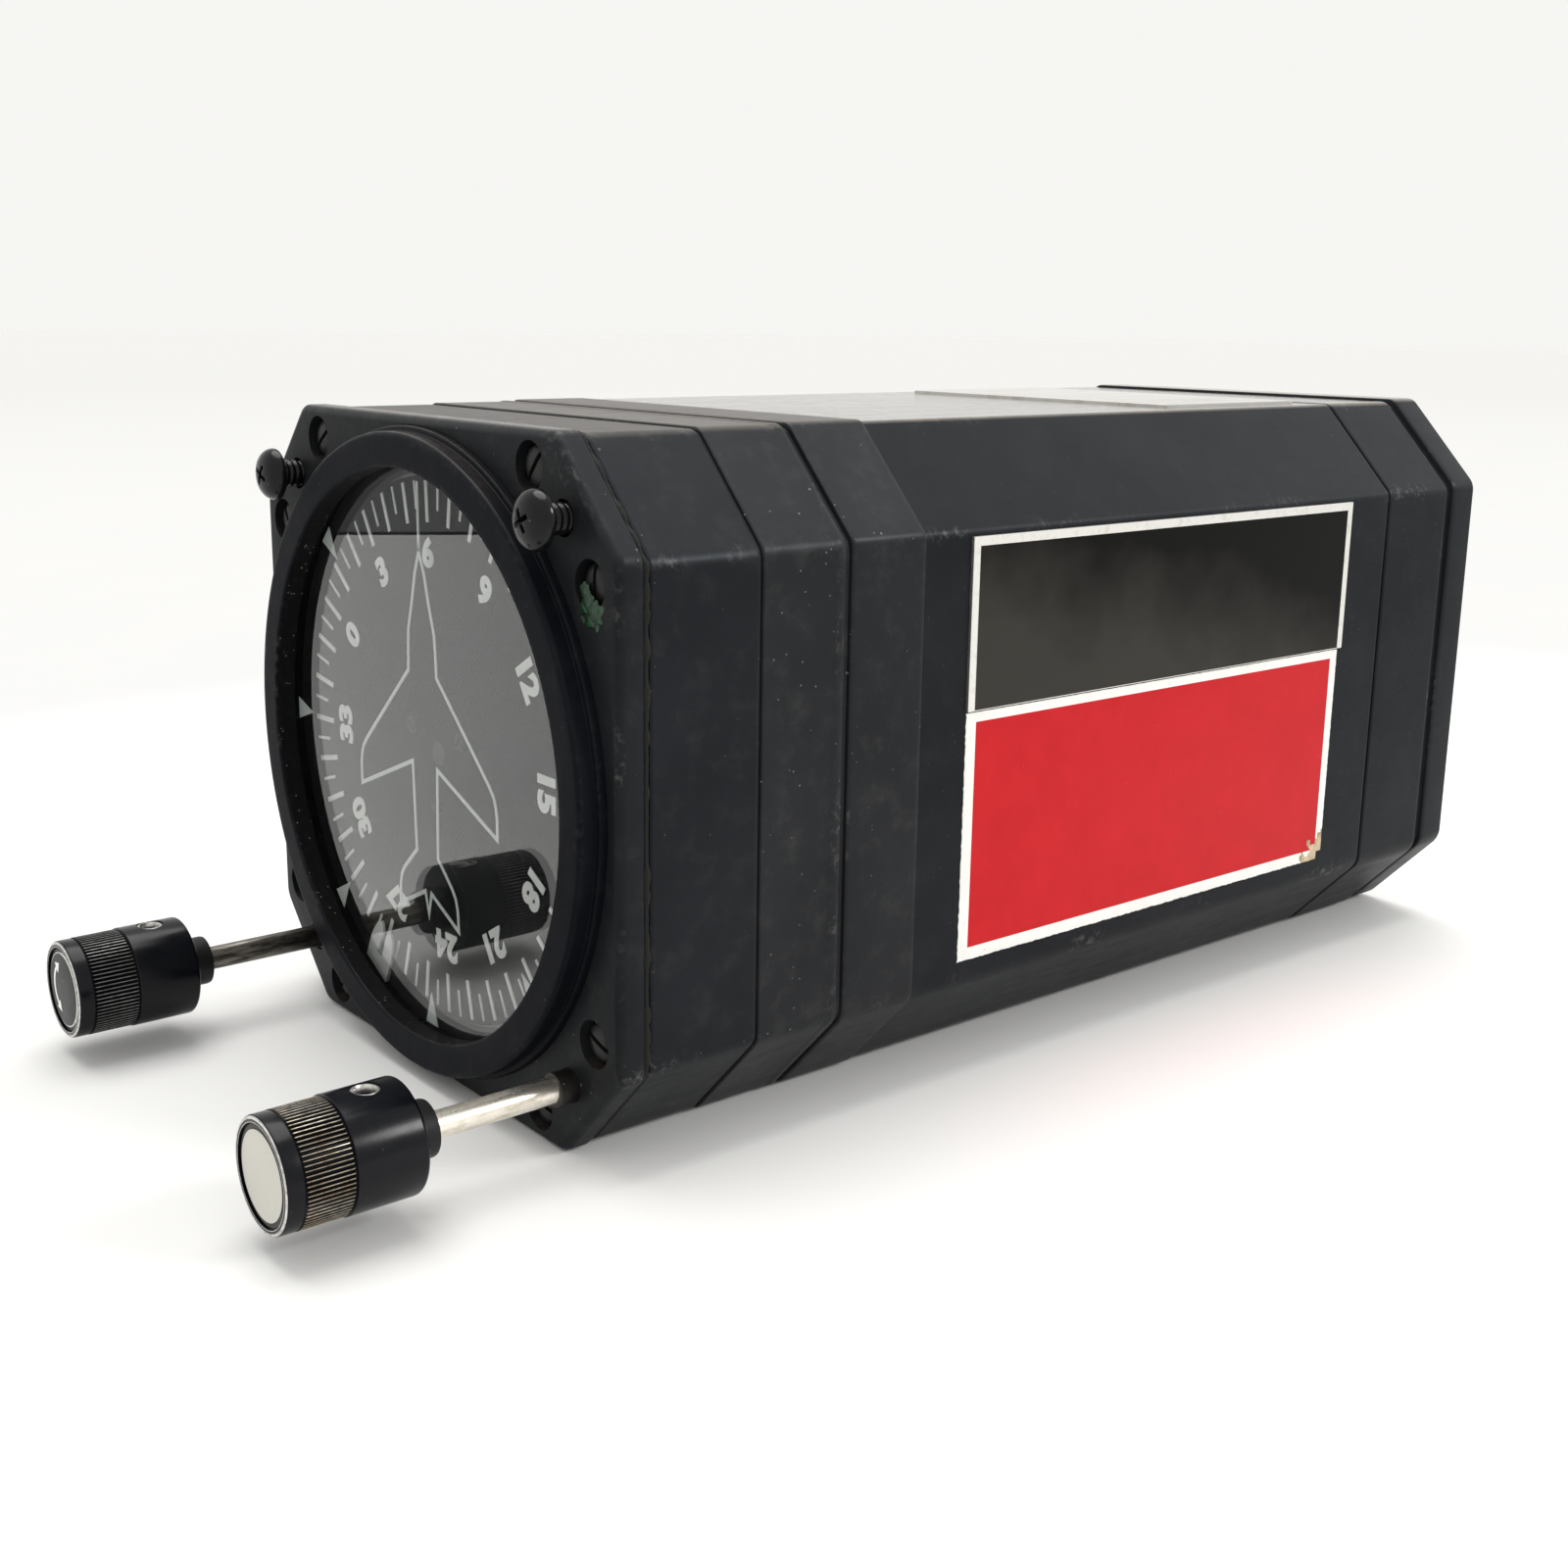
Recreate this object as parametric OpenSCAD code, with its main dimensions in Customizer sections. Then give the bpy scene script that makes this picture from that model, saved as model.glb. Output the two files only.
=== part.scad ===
// Directional gyro indicator: vertical card, panel mounted, air driven.
// Frame: origin at the centre of the flange's front face, X right, Y to the
// rear, Z up. All sizes in millimetres.

/* [Case] */
// Half width of the case and flange
case_hw = 41.3; // [41:0.1:41.6]
// Half height of the case and flange
case_hh = 40.3; // [40.1:0.1:40.6]
// Thickness of the mounting flange
flange_t = 3.3; // [3:0.1:3.5]
// Rear end of the front body section
front_end = 18.45; // [18.3:0.05:18.5]
// Rear end of the centre body section
centre_end = 30.6; // [30:0.1:31]
// Rear end of the dusty front stretch of the rear housing
collar_end = 42.7; // [41:0.1:44]
// Rear end of the rear housing
housing_end = 135.3; // [134:0.1:136]
// Front edge of the groove in the rear cap
cap_step = 150.6; // [149.5:0.1:151]
// Rear face of the rear cap
cap_end = 158.2; // [157.2:0.1:159]
// Thickness of the case walls
wall = 2.5; // [2.3:0.1:2.6]

/* [Dial] */
// Outer radius of the bezel ring
bezel_r = 38.6; // [38.4:0.1:38.8]
// Height of the bezel ring in front of the flange
bezel_h = 3.1; // [2.9:0.1:3.3]
// Radius of the dial opening
opening_r = 34.3; // [34:0.1:34.6]
// Radius of the dial card
card_r = 33.3; // [33:0.1:33.4]
// Heading shown at the top of the dial, in degrees
heading = 62; // [0:1:359]
// Place of the heading bug, degrees clockwise from the top
bug_angle = 207; // [0:0.5:359.5]

/* [Knobs] */
// Distance of each shaft and panel screw from the centre planes
corner_xy = 31.43; // [31.4:0.01:31.46]
// Front face of the right knob, in front of the flange
bug_knob_front = 36.3; // [34.6:0.1:37]
// Radius of the right knob
bug_knob_r = 6.35; // [6:0.05:6.5]
// Front face of the left knob, in front of the flange
set_knob_front = 34.6; // [33:0.1:36]
// Radius of the left knob
set_knob_r = 6.35; // [6:0.05:6.5]
// Travel of the left knob when it is pushed in
set_travel = 4.5; // [4.2:0.1:4.8]

/* [Gyro] */
// Distance of the gimbal axis behind the flange
gimbal_y = 90; // [89:0.5:91]
// Height of the tilt axis above the centre line
tilt_z = 6.5; // [6.4:0.1:6.6]
// Radius of the rotor
rotor_r = 14.8; // [14.5:0.1:15]
// Width of the rotor
rotor_w = 13; // [12:0.5:14]

/* [Hidden] */

BLACK = [0.09, 0.09, 0.095];
STEEL = [0.62, 0.61, 0.58];
BRASS = [0.72, 0.58, 0.30];
ALLOY = [0.70, 0.71, 0.72];

// Corner legs of the eight-sided outline
leg_x = 11.6;
leg_z = 12.3;
// Inner outline of the case
in_hw = case_hw - wall;
in_hh = case_hh - wall - 0.1;
// Gear sizes: module, then tooth counts
m5 = 0.5;
m3 = 1 / 3;
n_bugring = 146;
n_bugidler = 11;
n_bugpin = 10;
n_card = 90;
n_setidler = 39;
n_setpin = 10;
n_lay = 28;
n_crown = 90;
diag = corner_xy * sqrt(2);
bug_idler_d = n_bugring * m5 / 2 + n_bugidler * m5 / 2 - 0.02;
set_idler_d = (n_card + n_setidler) * m5 / 2 - 0.02;
lay_z = -(n_card + n_lay) * m5 / 2;
crown_r = n_crown * m3 / 2;
laypin_r = n_lay * m3 / 2;
crown_z = lay_z + laypin_r;
ring_in = 22.6;
ring_out = 25.5;
house_r = 17.5;
house_l = 11.5;
arm_top = 34;
arm_bot = -34.9;

// ---------- helpers ----------
// Flat shape in X and Z, carried from y0 back to y1
module along(y0, y1) translate([0, y1, 0]) rotate([90, 0, 0]) linear_extrude(y1 - y0) children();
// Cylinder along Y
module cyl(y0, y1, r, x = 0, z = 0) translate([x, y1, z]) rotate([90, 0, 0]) cylinder(h = y1 - y0, r = r, $fn = 96);
// Tube along Y
module tube(y0, y1, ro, ri, x = 0, z = 0) difference() {
    cyl(y0, y1, ro, x, z);
    cyl(y0 - 1, y1 + 1, ri, x, z);
}
// Solid of revolution about the Y axis through x, z; points are [radius, y]
module turned(pts, x = 0, z = 0) translate([x, 0, z]) rotate([90, 0, 0])
    rotate_extrude($fn = 128) polygon([for (p = pts) [p[0], -p[1]]]);
// Eight corners of the outline, counter-clockwise from the lower right
function oct(hw, hh, lx, lz) = [[hw - lx, -hh], [hw, -(hh - lz)], [hw, hh - lz], [hw - lx, hh],
    [-(hw - lx), hh], [-hw, hh - lz], [-hw, -(hh - lz)], [-(hw - lx), -hh]];
function unit(v) = v / norm(v);
// Outline with each corner rounded by its own radius
function soft(p, r, n = 5) = [for (i = [0:len(p) - 1])
    let (a = p[(i + len(p) - 1) % len(p)], b = p[i], c = p[(i + 1) % len(p)],
        u = unit(a - b), v = unit(c - b), h = acos(u * v) / 2,
        t = r[i % len(r)] / tan(h), o = b + unit(u + v) * r[i % len(r)] / sin(h),
        s = b + u * t - o, e = b + v * t - o, w = 180 - 2 * h)
    for (k = [0:n]) let (f = k / n, q = (s * sin((1 - f) * w) + e * sin(f * w)) / sin(w)) o + q];
// Radii of the corners: lower pairs are rounder than the upper ones
R_FRONT = [2.5, 2.5, 2.2, 2.2, 2.2, 2.2, 2.5, 2.5];
R_REAR = [3.5, 3.5, 1.5, 1.5, 1.5, 1.5, 3.5, 3.5];
R_CAP = [3.5, 3.5, 2.6, 2.2, 2.2, 2.6, 3.5, 3.5];
module outline(inset = 0, r = R_FRONT, dh = 0) polygon(soft(
    oct(case_hw - inset, case_hh - inset - dh, leg_x - inset * 0.45, leg_z - inset * 0.45), r));
module inner(c = 0) polygon(oct(in_hw - c, in_hh - c, 9.95 - c * 0.45, 10.5 - c * 0.45));
// The eight places of the flange screws
FS = [for (sx = [-1, 1], sz = [-1, 1], k = [0, 1]) [sx * (k == 0 ? 25 : 36.3), sz * (k == 0 ? 36.3 : 25)]];
CORNERS = [for (sx = [-1, 1], sz = [-1, 1]) [sx * corner_xy, sz * corner_xy]];
TOP_CORNERS = [[-corner_xy, corner_xy], [corner_xy, corner_xy]];
LOW_CORNERS = [[-corner_xy, -corner_xy], [corner_xy, -corner_xy]];
// Involute gear outline. A tooth is centred on the angle ph.
function inv(a) = tan(a) - a * PI / 180;
function half_ang(r, n, m, pa) = let (rp = n * m / 2, rb = rp * cos(pa))
    (90 / n) * 0.84 + (inv(pa) - inv(r > rb ? acos(rb / r) : 0)) * 180 / PI;
function gear_pts(n, m, ph, add = 0.85, ded = 1.1, pa = 25) = let (rp = n * m / 2,
    rr = rp - ded * m, ro = rp + add * m,
    rs = [rr, max(rr + 0.05, rp * cos(pa) + 0.02, rp - 0.5 * m), rp + 0.2 * m, ro])
    [for (i = [0:n - 1]) let (c = ph + i * 360 / n)
        each concat([for (k = [0:3]) let (a = c - half_ang(k == 0 ? rs[1] : rs[k], n, m, pa)) rs[k] * [cos(a), sin(a)]],
            [for (k = [3:-1:0]) let (a = c + half_ang(k == 0 ? rs[1] : rs[k], n, m, pa)) rs[k] * [cos(a), sin(a)]])];
// Phase of a gear that meshes with another one which lies at the angle phi from it
function mesh_ph(pa, na, nb, phi) = phi + 180 + (phi - pa) * na / nb + 180 / nb;
PH_CARD = -90;
PH_LAY = mesh_ph(PH_CARD, n_card, n_lay, -90);
PH_SETIDLER = mesh_ph(PH_CARD, n_card, n_setidler, -135);
PH_SETPIN = mesh_ph(PH_SETIDLER, n_setidler, n_setpin, -135);
PH_BUGRING = -45;
PH_BUGIDLER = mesh_ph(PH_BUGRING, n_bugring, n_bugidler, -45);
PH_BUGPIN = mesh_ph(PH_BUGIDLER, n_bugidler, n_bugpin, -45);
// Flat strokes and figures
module stroke(a, b, w) let (d = b - a, l = norm(d)) translate((a + b) / 2)
    rotate(atan2(d[1], d[0])) square([l + w * 0.9, w], center = true);
module path(p, w) for (i = [0:len(p) - 2]) stroke(p[i], p[i + 1], w);
module figure(d, w) {
    if (d == 0) path([[0.3, 0], [1.3, 0], [1.7, 0.6], [1.7, 2.4], [1.3, 3], [0.3, 3], [-0.1, 2.4], [-0.1, 0.6], [0.3, 0]], w);
    if (d == 1) path([[0.2, 2.3], [1, 3], [1, 0]], w);
    if (d == 2) path([[-0.1, 2.4], [0.4, 3], [1.3, 3], [1.7, 2.4], [1.6, 1.8], [-0.1, 0], [1.8, 0]], w);
    if (d == 3) path([[-0.1, 2.6], [0.4, 3], [1.3, 3], [1.7, 2.4], [1.2, 1.6], [1.75, 0.8], [1.3, 0], [0.3, 0], [-0.1, 0.5]], w);
    if (d == 4) path([[1.3, 0], [1.3, 3], [-0.1, 0.9], [1.9, 0.9]], w);
    if (d == 5) path([[1.6, 3], [0.1, 3], [0, 1.7], [1.2, 1.8], [1.75, 1], [1.3, 0.1], [0.2, 0], [-0.1, 0.5]], w);
    if (d == 6) path([[1.6, 2.7], [1.1, 3], [0.3, 2.9], [-0.1, 1.6], [0.1, 0.3], [0.9, 0], [1.6, 0.4], [1.6, 1.4], [0.9, 1.75], [0.1, 1.4]], w);
    if (d == 7) path([[-0.1, 3], [1.7, 3], [0.5, 0]], w);
    if (d == 8) path([[0.8, 1.6], [0.1, 2.1], [0.3, 2.9], [1.3, 2.9], [1.5, 2.1], [0.8, 1.6], [-0.05, 1], [0.2, 0.05], [1.4, 0.05], [1.65, 1], [0.8, 1.6]], w);
    if (d == 9) path([[0, 0.3], [0.5, 0], [1.3, 0.1], [1.7, 1.4], [1.5, 2.7], [0.7, 3], [0, 2.6], [0, 1.6], [0.7, 1.25], [1.5, 1.6]], w);
}
// Plain numbers from 0 to 33, every 30 degrees
module number(v) translate([v < 10 ? -0.8 : -2.1, -1.5]) {
    if (v >= 10) figure(floor(v / 10), 0.62);
    translate([v < 10 ? 0 : 2.55, 0]) figure(v % 10, 0.62);
}

// ---------- case ----------
module mounting_flange() color(BLACK) difference() {
    union() {
        along(1, flange_t) outline(0, R_FRONT);
        hull() { along(0.5, 1.01) outline(0.14, R_FRONT); along(0.99, 1.01) outline(0, R_FRONT); }
        hull() { along(0.14, 0.51) outline(0.5, R_FRONT); along(0.5, 0.51) outline(0.14, R_FRONT); }
        hull() { along(0, 0.15) outline(1, R_FRONT); along(0.14, 0.15) outline(0.5, R_FRONT); }
    }
    cyl(-1, 1.5, 39.25);
    cyl(-1, flange_t + 1, 36.6);
    for (p = FS) { cyl(-1, 2, 2.75, p[0], p[1]); cyl(-1, flange_t + 1, 1.45, p[0], p[1]); }
    for (p = CORNERS) cyl(-1, flange_t + 1, 2, p[0], p[1]);
}
module bezel_ring() color(BLACK) turned([[opening_r, -0.5], [opening_r, -bezel_h + 0.15], [opening_r + 0.15, -bezel_h],
    [bezel_r - 0.5, -bezel_h], [bezel_r - 0.15, -bezel_h + 0.15], [bezel_r, -bezel_h + 0.5], [bezel_r, -1],
    [39.05, -0.95], [39.2, -0.8], [39.2, 1.5], [37.3, 1.5], [37.3, -0.5]]);
module cover_glass() color([0.75, 0.8, 0.8, 0.35]) cyl(-0.5, 1.1, 37.2);
module glass_gasket() color([0.1, 0.1, 0.1]) tube(1.12, 1.5, 37.2, 36.3);
module glass_markings() color("white") along(1.1, 1.2) {
    w = 0.5;
    path([[0, 32.8], [0, 24.7]], w);
    for (s = [-1, 1]) {
        path([[0, 24.7], [s * 1.1, 22], [s * 3.1, 15], [s * 3.4, 10], [s * 16.3, -2], [s * 16.6, -6.7],
            [s * 3, -1.2], [s * 2.6, -12.3], [s * 6.7, -16.2], [s * 7.2, -20.3], [s * 0.7, -17.2], [0, -20]], w);
    }
    for (a = [45:45:315]) rotate(-a) polygon([[0, 30.1], [1.45, 34.3], [-1.45, 34.3]]);
}
module flange_screws() color(STEEL * 0.5) for (p = FS) difference() {
    union() { cyl(0.6, 1.98, 2.35, p[0], p[1]); cyl(1.9, 26.5, 1.2, p[0], p[1]); }
    translate([p[0], 0.9, p[1]]) rotate([0, p[0] * 7, 0]) cube([5.4, 1.2, 0.6], center = true);
}
module panel_screws() color(BLACK) for (p = TOP_CORNERS) difference() {
    union() {
        turned([[0, -5.2], [1.5, -5.05], [2.6, -4.5], [3.3, -3.5], [3.3, -2.9], [1.75, -2.9], [1.75, 10], [1.2, 10.6], [0, 10.6]], p[0], p[1]);
    }
    for (a = [20, 110]) translate([p[0], -4.9, p[1]]) rotate([0, a, 0]) cube([3.4, 2, 0.75], center = true);
}
module sealant_bead() color([0.05, 0.05, 0.05]) along(flange_t, 3.9) difference() {
    outline(0.35, R_FRONT, 0.2);
    inner(-0.55);
}
module front_body() color(BLACK * 1.15) difference() {
    union() {
        along(3.9, front_end) difference() { outline(0, R_FRONT, 0.4); inner(0); }
        intersection() {
            along(3.9, front_end) outline(0, R_FRONT, 0.4);
            union() {
                for (p = FS) cyl(3.9, front_end, 3, p[0], p[1]);
                for (p = TOP_CORNERS) cyl(3.9, 16, 3.6, p[0], p[1]);
            }
        }
        for (s = [-1, 1], t = [-1, 1]) {
            cyl(9.62, 16, 3.6, s * 35.2, t * 10);
            translate([s * 37.3 - 2, 9.62, t * 10 - 2.6]) cube([4, 6.38, 5.2]);
        }
    }
    for (p = FS) cyl(3, 19, 1.25, p[0], p[1]);
    for (p = TOP_CORNERS) cyl(3, 14.5, 1.8, p[0], p[1]);
    for (p = LOW_CORNERS) cyl(4.5, front_end + 1, 3.5, p[0], p[1]);
    for (s = [-1, 1], t = [-1, 1]) cyl(9, 17, 1.05, s * 35.2, t * 10);
}
module front_case_gasket() color([0.03, 0.03, 0.03]) along(front_end, front_end + 0.3) difference() {
    outline(0.4, R_FRONT, 0.2);
    inner(-0.4);
    for (p = FS) translate(p) circle(r = 3.1, $fn = 48);
}
module centre_body() color(BLACK) difference() {
    union() {
        along(front_end + 0.3, centre_end) difference() { outline(0, R_FRONT, 0.15); inner(0); }
        along(centre_end - 0.1, centre_end + 0.8) difference() { outline(0.4, R_FRONT, 0.15); inner(0); }
        along(centre_end, centre_end + 2.8) difference() { inner(0.08); inner(1.6); }
        intersection() {
            along(front_end + 0.3, centre_end + 0.8) outline(0.3, R_FRONT, 0.15);
            union() {
                for (p = FS) cyl(front_end + 0.3, 28, 3, p[0], p[1]);
                for (p = CORNERS) cyl(26.5, centre_end + 0.7, 3.4, p[0], p[1]);
            }
        }
    }
    for (p = FS) cyl(18, 27, 1.25, p[0], p[1]);
    for (p = CORNERS) cyl(26, 40, 1.55, p[0], p[1]);
}
module rear_housing() color(BLACK) difference() {
    union() {
        along(centre_end + 0.8, collar_end) difference() { outline(0, R_REAR); inner(0); }
        along(collar_end - 0.1, housing_end) difference() { outline(0.2, R_REAR); inner(0); }
        for (s = [-1, 1], t = [-1, 1]) intersection() {
            cyl(53.02, 60, 3.2, s * 36.6, t * 14);
            along(52, 61) inner(-0.5);
        }
    }
    for (s = [-1, 1], t = [-1, 1]) cyl(52, 59, 1.05, s * 36.2, t * 14);
}
module rear_cap_gasket() color([0.03, 0.03, 0.03]) along(housing_end, housing_end + 0.3) difference() {
    outline(0.45, R_REAR);
    inner(0);
}
// The rim of the rear cap stands a little higher than the rest of the case
module rim(inset) translate([0, 0.35]) outline(inset + 0.05, R_CAP);
module rear_cap() color(BLACK) difference() {
    union() {
        along(housing_end + 0.3, cap_step) difference() { outline(0.1, R_REAR); inner(0); }
        along(cap_step - 0.1, cap_step + 1.4) difference() { outline(0.65, R_CAP); inner(0); }
        along(cap_step + 1.3, cap_end - 4) difference() { rim(0); inner(0); }
        along(cap_end - 4.1, cap_end - 0.8) rim(0);
        hull() { along(cap_end - 0.9, cap_end - 0.8) rim(0); along(cap_end - 0.8, cap_end - 0.25) rim(0.25); }
        hull() { along(cap_end - 0.3, cap_end - 0.25) rim(0.25); along(cap_end - 0.25, cap_end) rim(0.8); }
        for (s = [-1, 1]) cyl(cap_end - 12.5, cap_end - 4, 10.5, s * 16, 14);
        intersection() {
            for (p = CORNERS) cyl(housing_end + 0.3, cap_end - 4, 3.6, p[0], p[1]);
            along(housing_end, cap_end) inner(-0.5);
        }
    }
    for (s = [-1, 1]) cyl(cap_end - 13, cap_end + 1, 8.5, s * 16, 14);
    for (p = CORNERS) { cyl(130, cap_end + 1, 1.75, p[0], p[1]); cyl(cap_end - 2.6, cap_end + 1, 3.2, p[0], p[1]); }
}
module case_bolts() color(STEEL * 0.6) for (p = CORNERS) difference() {
    union() { cyl(cap_end - 2.58, cap_end - 0.6, 2.8, p[0], p[1]); cyl(27, cap_end - 2.5, 1.5, p[0], p[1]); }
    for (a = [0, 90]) translate([p[0], cap_end - 0.9, p[1]]) rotate([0, a, 0]) cube([3.4, 1.4, 0.7], center = true);
}
module caution_placard() color([0.05, 0.05, 0.05]) translate([case_hw - 0.2, 0, 0]) {
    translate([0, 50.1, 6.3]) cube([0.45, 75.7, 20.9]);
}
module notice_decal() color([0.75, 0.05, 0.07]) translate([case_hw - 0.2, 50.2, -25.2]) cube([0.2, 75.1, 31.3]);
module top_data_plate() color([0.8, 0.8, 0.78]) translate([-26, 104, case_hh - 0.2]) cube([51, 29, 0.4]);
module port(x) difference() {
    tube(cap_end - 12, cap_end - 0.02, 8.48, 5.7, x, 14);
    turned([[0, cap_end + 1], [7.7, cap_end + 1], [5.7, cap_end - 1], [0, cap_end - 1]], x, 14);
}
module air_inlet_port() color(BRASS) port(-16);
module vacuum_port() color(BRASS) port(16);
module inlet_screen() color(STEEL) difference() {
    cyl(cap_end - 12.5, cap_end - 12.1, 8.3, -16, 14);
    for (i = [-3:3], j = [-3:3]) if (norm([i, j]) < 3.7) translate([-16 + i * 1.5, cap_end - 12.3, 14 + j * 1.5]) cube([1, 2, 1], center = true);
}
// ---------- fixed parts of the movement ----------
module shaft_bushings() color([0.2, 0.19, 0.18]) {
    for (k = [[-1, 1.53], [1, 1.54]]) difference() {
        union() {
            cyl(k[0] < 0 ? 0.3 : -2.2, 3.9, 1.95, k[0] * corner_xy, -corner_xy);
            cyl(flange_t + 0.02, 3.9, 2.6, k[0] * corner_xy, -corner_xy);
        }
        cyl(-3, 5, k[1], k[0] * corner_xy, -corner_xy);
    }
}
module dial_plate() color(ALLOY) difference() {
    union() {
        along(7.6, 9.6) intersection() { inner(0.3); circle(r = 40.6, $fn = 128); }
        tube(4.3, 7.7, 33.9, 32.3);
        cyl(4.2, 7.7, 6);
        rotate([0, 45, 0]) cyl(4.7, 7.7, 0.8, bug_idler_d, 0);
        rotate([0, 135, 0]) cyl(9.5, 12.3, 1.2, set_idler_d, 0);
    }
    cyl(0, 12, 1.56);
    cyl(7, 12, 1.05, 0, lay_z);
    for (s = [-1, 1], t = [-1, 1]) { cyl(7, 12, 1.3, s * 35.2, t * 10); cyl(7, 8.62, 2.05, s * 35.2, t * 10); }
}
module movement_screws() color(STEEL) for (s = [-1, 1], t = [-1, 1]) difference() {
    union() { cyl(7.75, 8.6, 1.95, s * 35.2, t * 10); cyl(8.5, 15, 1, s * 35.2, t * 10); }
    translate([s * 35.2, 7.9, t * 10]) cube([4.4, 0.7, 0.5], center = true);
}
PILLARS = [[0, 31], [31, 6], [23, -24], [-32, 3]];
module movement_pillars() color(BRASS) for (p = PILLARS) cyl(9.62, 17.98, 2, p[0], p[1]);
module rear_movement_plate() color(ALLOY) difference() {
    along(18, 19.6) intersection() {
        inner(0.3);
        union() {
            circle(r = 40.2, $fn = 128);
            for (s = [-1, 1]) hull() { translate([s * corner_xy, -corner_xy]) circle(r = 3.6, $fn = 32); translate([s * 20, -20]) circle(r = 3.6, $fn = 32); }
        }
    }
    cyl(17, 21, 1.56);
    cyl(17, 21, 1.31, 0, lay_z);
    cyl(17, 21, 1.25, -corner_xy, -corner_xy);
    cyl(17, 21, 1.66, corner_xy, -corner_xy);
    for (a = [45:90:315]) rotate([0, a + 45, 0]) cyl(17, 21, 8, 19, 0);
}
module gimbal_frame() color(ALLOY) difference() {
    union() {
        along(50, 53) inner(0.3);
        translate([-8, 52, arm_top]) cube([16, 46, 3]);
        translate([-8, 52, arm_bot - 2.5]) cube([16, 46, 2.5]);
        translate([-3.2, 67, arm_bot - 1]) cube([6.4, 5, 8.6]);
    }
    for (s = [-1, 1]) {
        cyl(49, 54, 10, s * 22, 16);
        cyl(49, 54, 8, s * 24, -10);
        cyl(49, 54, 6.5, s * 17, -25);
    }
    cyl(49, 54, 8, 0, 0);
    cyl(49, 54, 1.31, 0, lay_z);
    cyl(60, 80, 1.31, 0, lay_z);
    for (s = [-1, 1], t = [-1, 1]) cyl(49, 54, 1.3, s * 36.2, t * 14);
    for (p = CORNERS) cyl(49, 54, 1.9, p[0], p[1]);
    translate([0, gimbal_y, arm_bot - 3]) cylinder(h = 4, r = 4, $fn = 96);
    translate([0, gimbal_y, arm_top - 1]) cylinder(h = 5, r = 4, $fn = 96);
}
module frame_screws() color(STEEL) for (s = [-1, 1], t = [-1, 1]) {
    cyl(48.6, 49.98, 1.95, s * 36.2, t * 14);
    cyl(49.9, 58, 1, s * 36.2, t * 14);
}
module azimuth_bearings() color(STEEL) for (z = [arm_bot - 2.5, arm_top + 0.3]) translate([0, gimbal_y, z]) difference() {
    cylinder(h = 2.4, r = 3.98, $fn = 96);
    translate([0, 0, -1]) cylinder(h = 5, r = 2.04, $fn = 96);
}
// ---------- dial card and its drive ----------
module dial_card() color([0.12, 0.12, 0.125]) union() {
    tube(3, 3.7, card_r, 1.5);
    tube(3.6, 4, 5, 1.5);
}
module card_markings() color("white") along(2.9, 3) {
    for (v = [0:5:355]) rotate(heading - v)
        translate([0, v % 10 == 0 ? 30.3 : 31.05]) square([v % 10 == 0 ? 0.7 : 0.5, v % 10 == 0 ? 4.9 : 3.4], center = true);
    for (v = [0:3:33]) rotate(heading - v * 10) translate([0, 24.3]) scale(1.18) number(v);
}
module card_shaft() color(STEEL) cyl(3, 20.8, 1.5);
module card_gear() color(BRASS) difference() {
    union() {
        along(10.2, 11.8) polygon(gear_pts(n_card, m5, PH_CARD));
        cyl(11.7, 14, 4);
    }
    cyl(9, 15, 1.5);
    for (a = [0:60:300]) rotate([0, a, 0]) cyl(9, 15, 5, 13, 0);
}
module bug_ring() color(BLACK) difference() {
    union() {
        cyl(2.4, 5.05, 35.9);
        along(5, 6.6) polygon(gear_pts(n_bugring, m5, PH_BUGRING));
        rotate([0, bug_angle, 0]) {
            along(2.3, 2.5) polygon([[-2.8, 34.05], [2.8, 34.05], [2.8, 35.7], [-2.8, 35.7]]);
            along(1.9, 2.35) polygon([[-2.8, 35.7], [-2.8, 32.4], [-2.6, 31], [-2.1, 29.4], [-1.5, 28.7], [-0.9, 28.8],
                [-0.45, 29.5], [-0.6, 33.2], [0.6, 33.2], [0.45, 29.5], [0.9, 28.8], [1.5, 28.7], [2.1, 29.4], [2.6, 31],
                [2.8, 32.4], [2.8, 35.7]]);
        }
    }
    cyl(2.2, 8, 33.95);
}
module bug_idler_gear() color(BRASS) rotate([0, 45, 0]) translate([bug_idler_d, 0, 0]) difference() {
    along(5, 6.6) polygon(gear_pts(n_bugidler, m5, PH_BUGIDLER + 45));
    cyl(4, 8, 0.85);
}
module bug_shaft() color(STEEL) cyl(-bug_knob_front + 3, 20.8, 1.5, corner_xy, -corner_xy);
module bug_pinion() color(BRASS) translate([corner_xy, 0, -corner_xy]) difference() {
    union() {
        along(5, 6.6) polygon(gear_pts(n_bugpin, m5, PH_BUGPIN));
        cyl(4.05, 5.1, 1.9);
    }
    cyl(3, 8, 1.5);
}
module bug_retaining_collar() color(STEEL) tube(15.8, 17.9, 2.7, 1.5, corner_xy, -corner_xy);
module knob(front, r, band0, band1, back, collar, rs, px) difference() {
    turned([[0, -front], [r - 0.45, -front], [r - 0.2, -front + 0.3], [r - 0.2, -band0], [r - 0.12, -band0], [r - 0.12, -band1], [r, -band1],
        [r, -back - 0.35], [r - 0.35, -back], [3.15, -back], [3.15, -collar - 0.2], [2.95, -collar], [0, -collar]], px, -corner_xy);
    cyl(-front - 1, -front + 0.45, r - 1, px, -corner_xy);
    cyl(-front + 3, -collar + 1, rs, px, -corner_xy);
    translate([px, -back - 4, -corner_xy]) cylinder(h = 10, r = 1.25, $fn = 48);
}
module bug_knob() color(BLACK) knob(bug_knob_front, bug_knob_r, bug_knob_front - 2, bug_knob_front - 7.45, bug_knob_front - 15.6, bug_knob_front - 18.6, 1.5, corner_xy);
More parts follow.
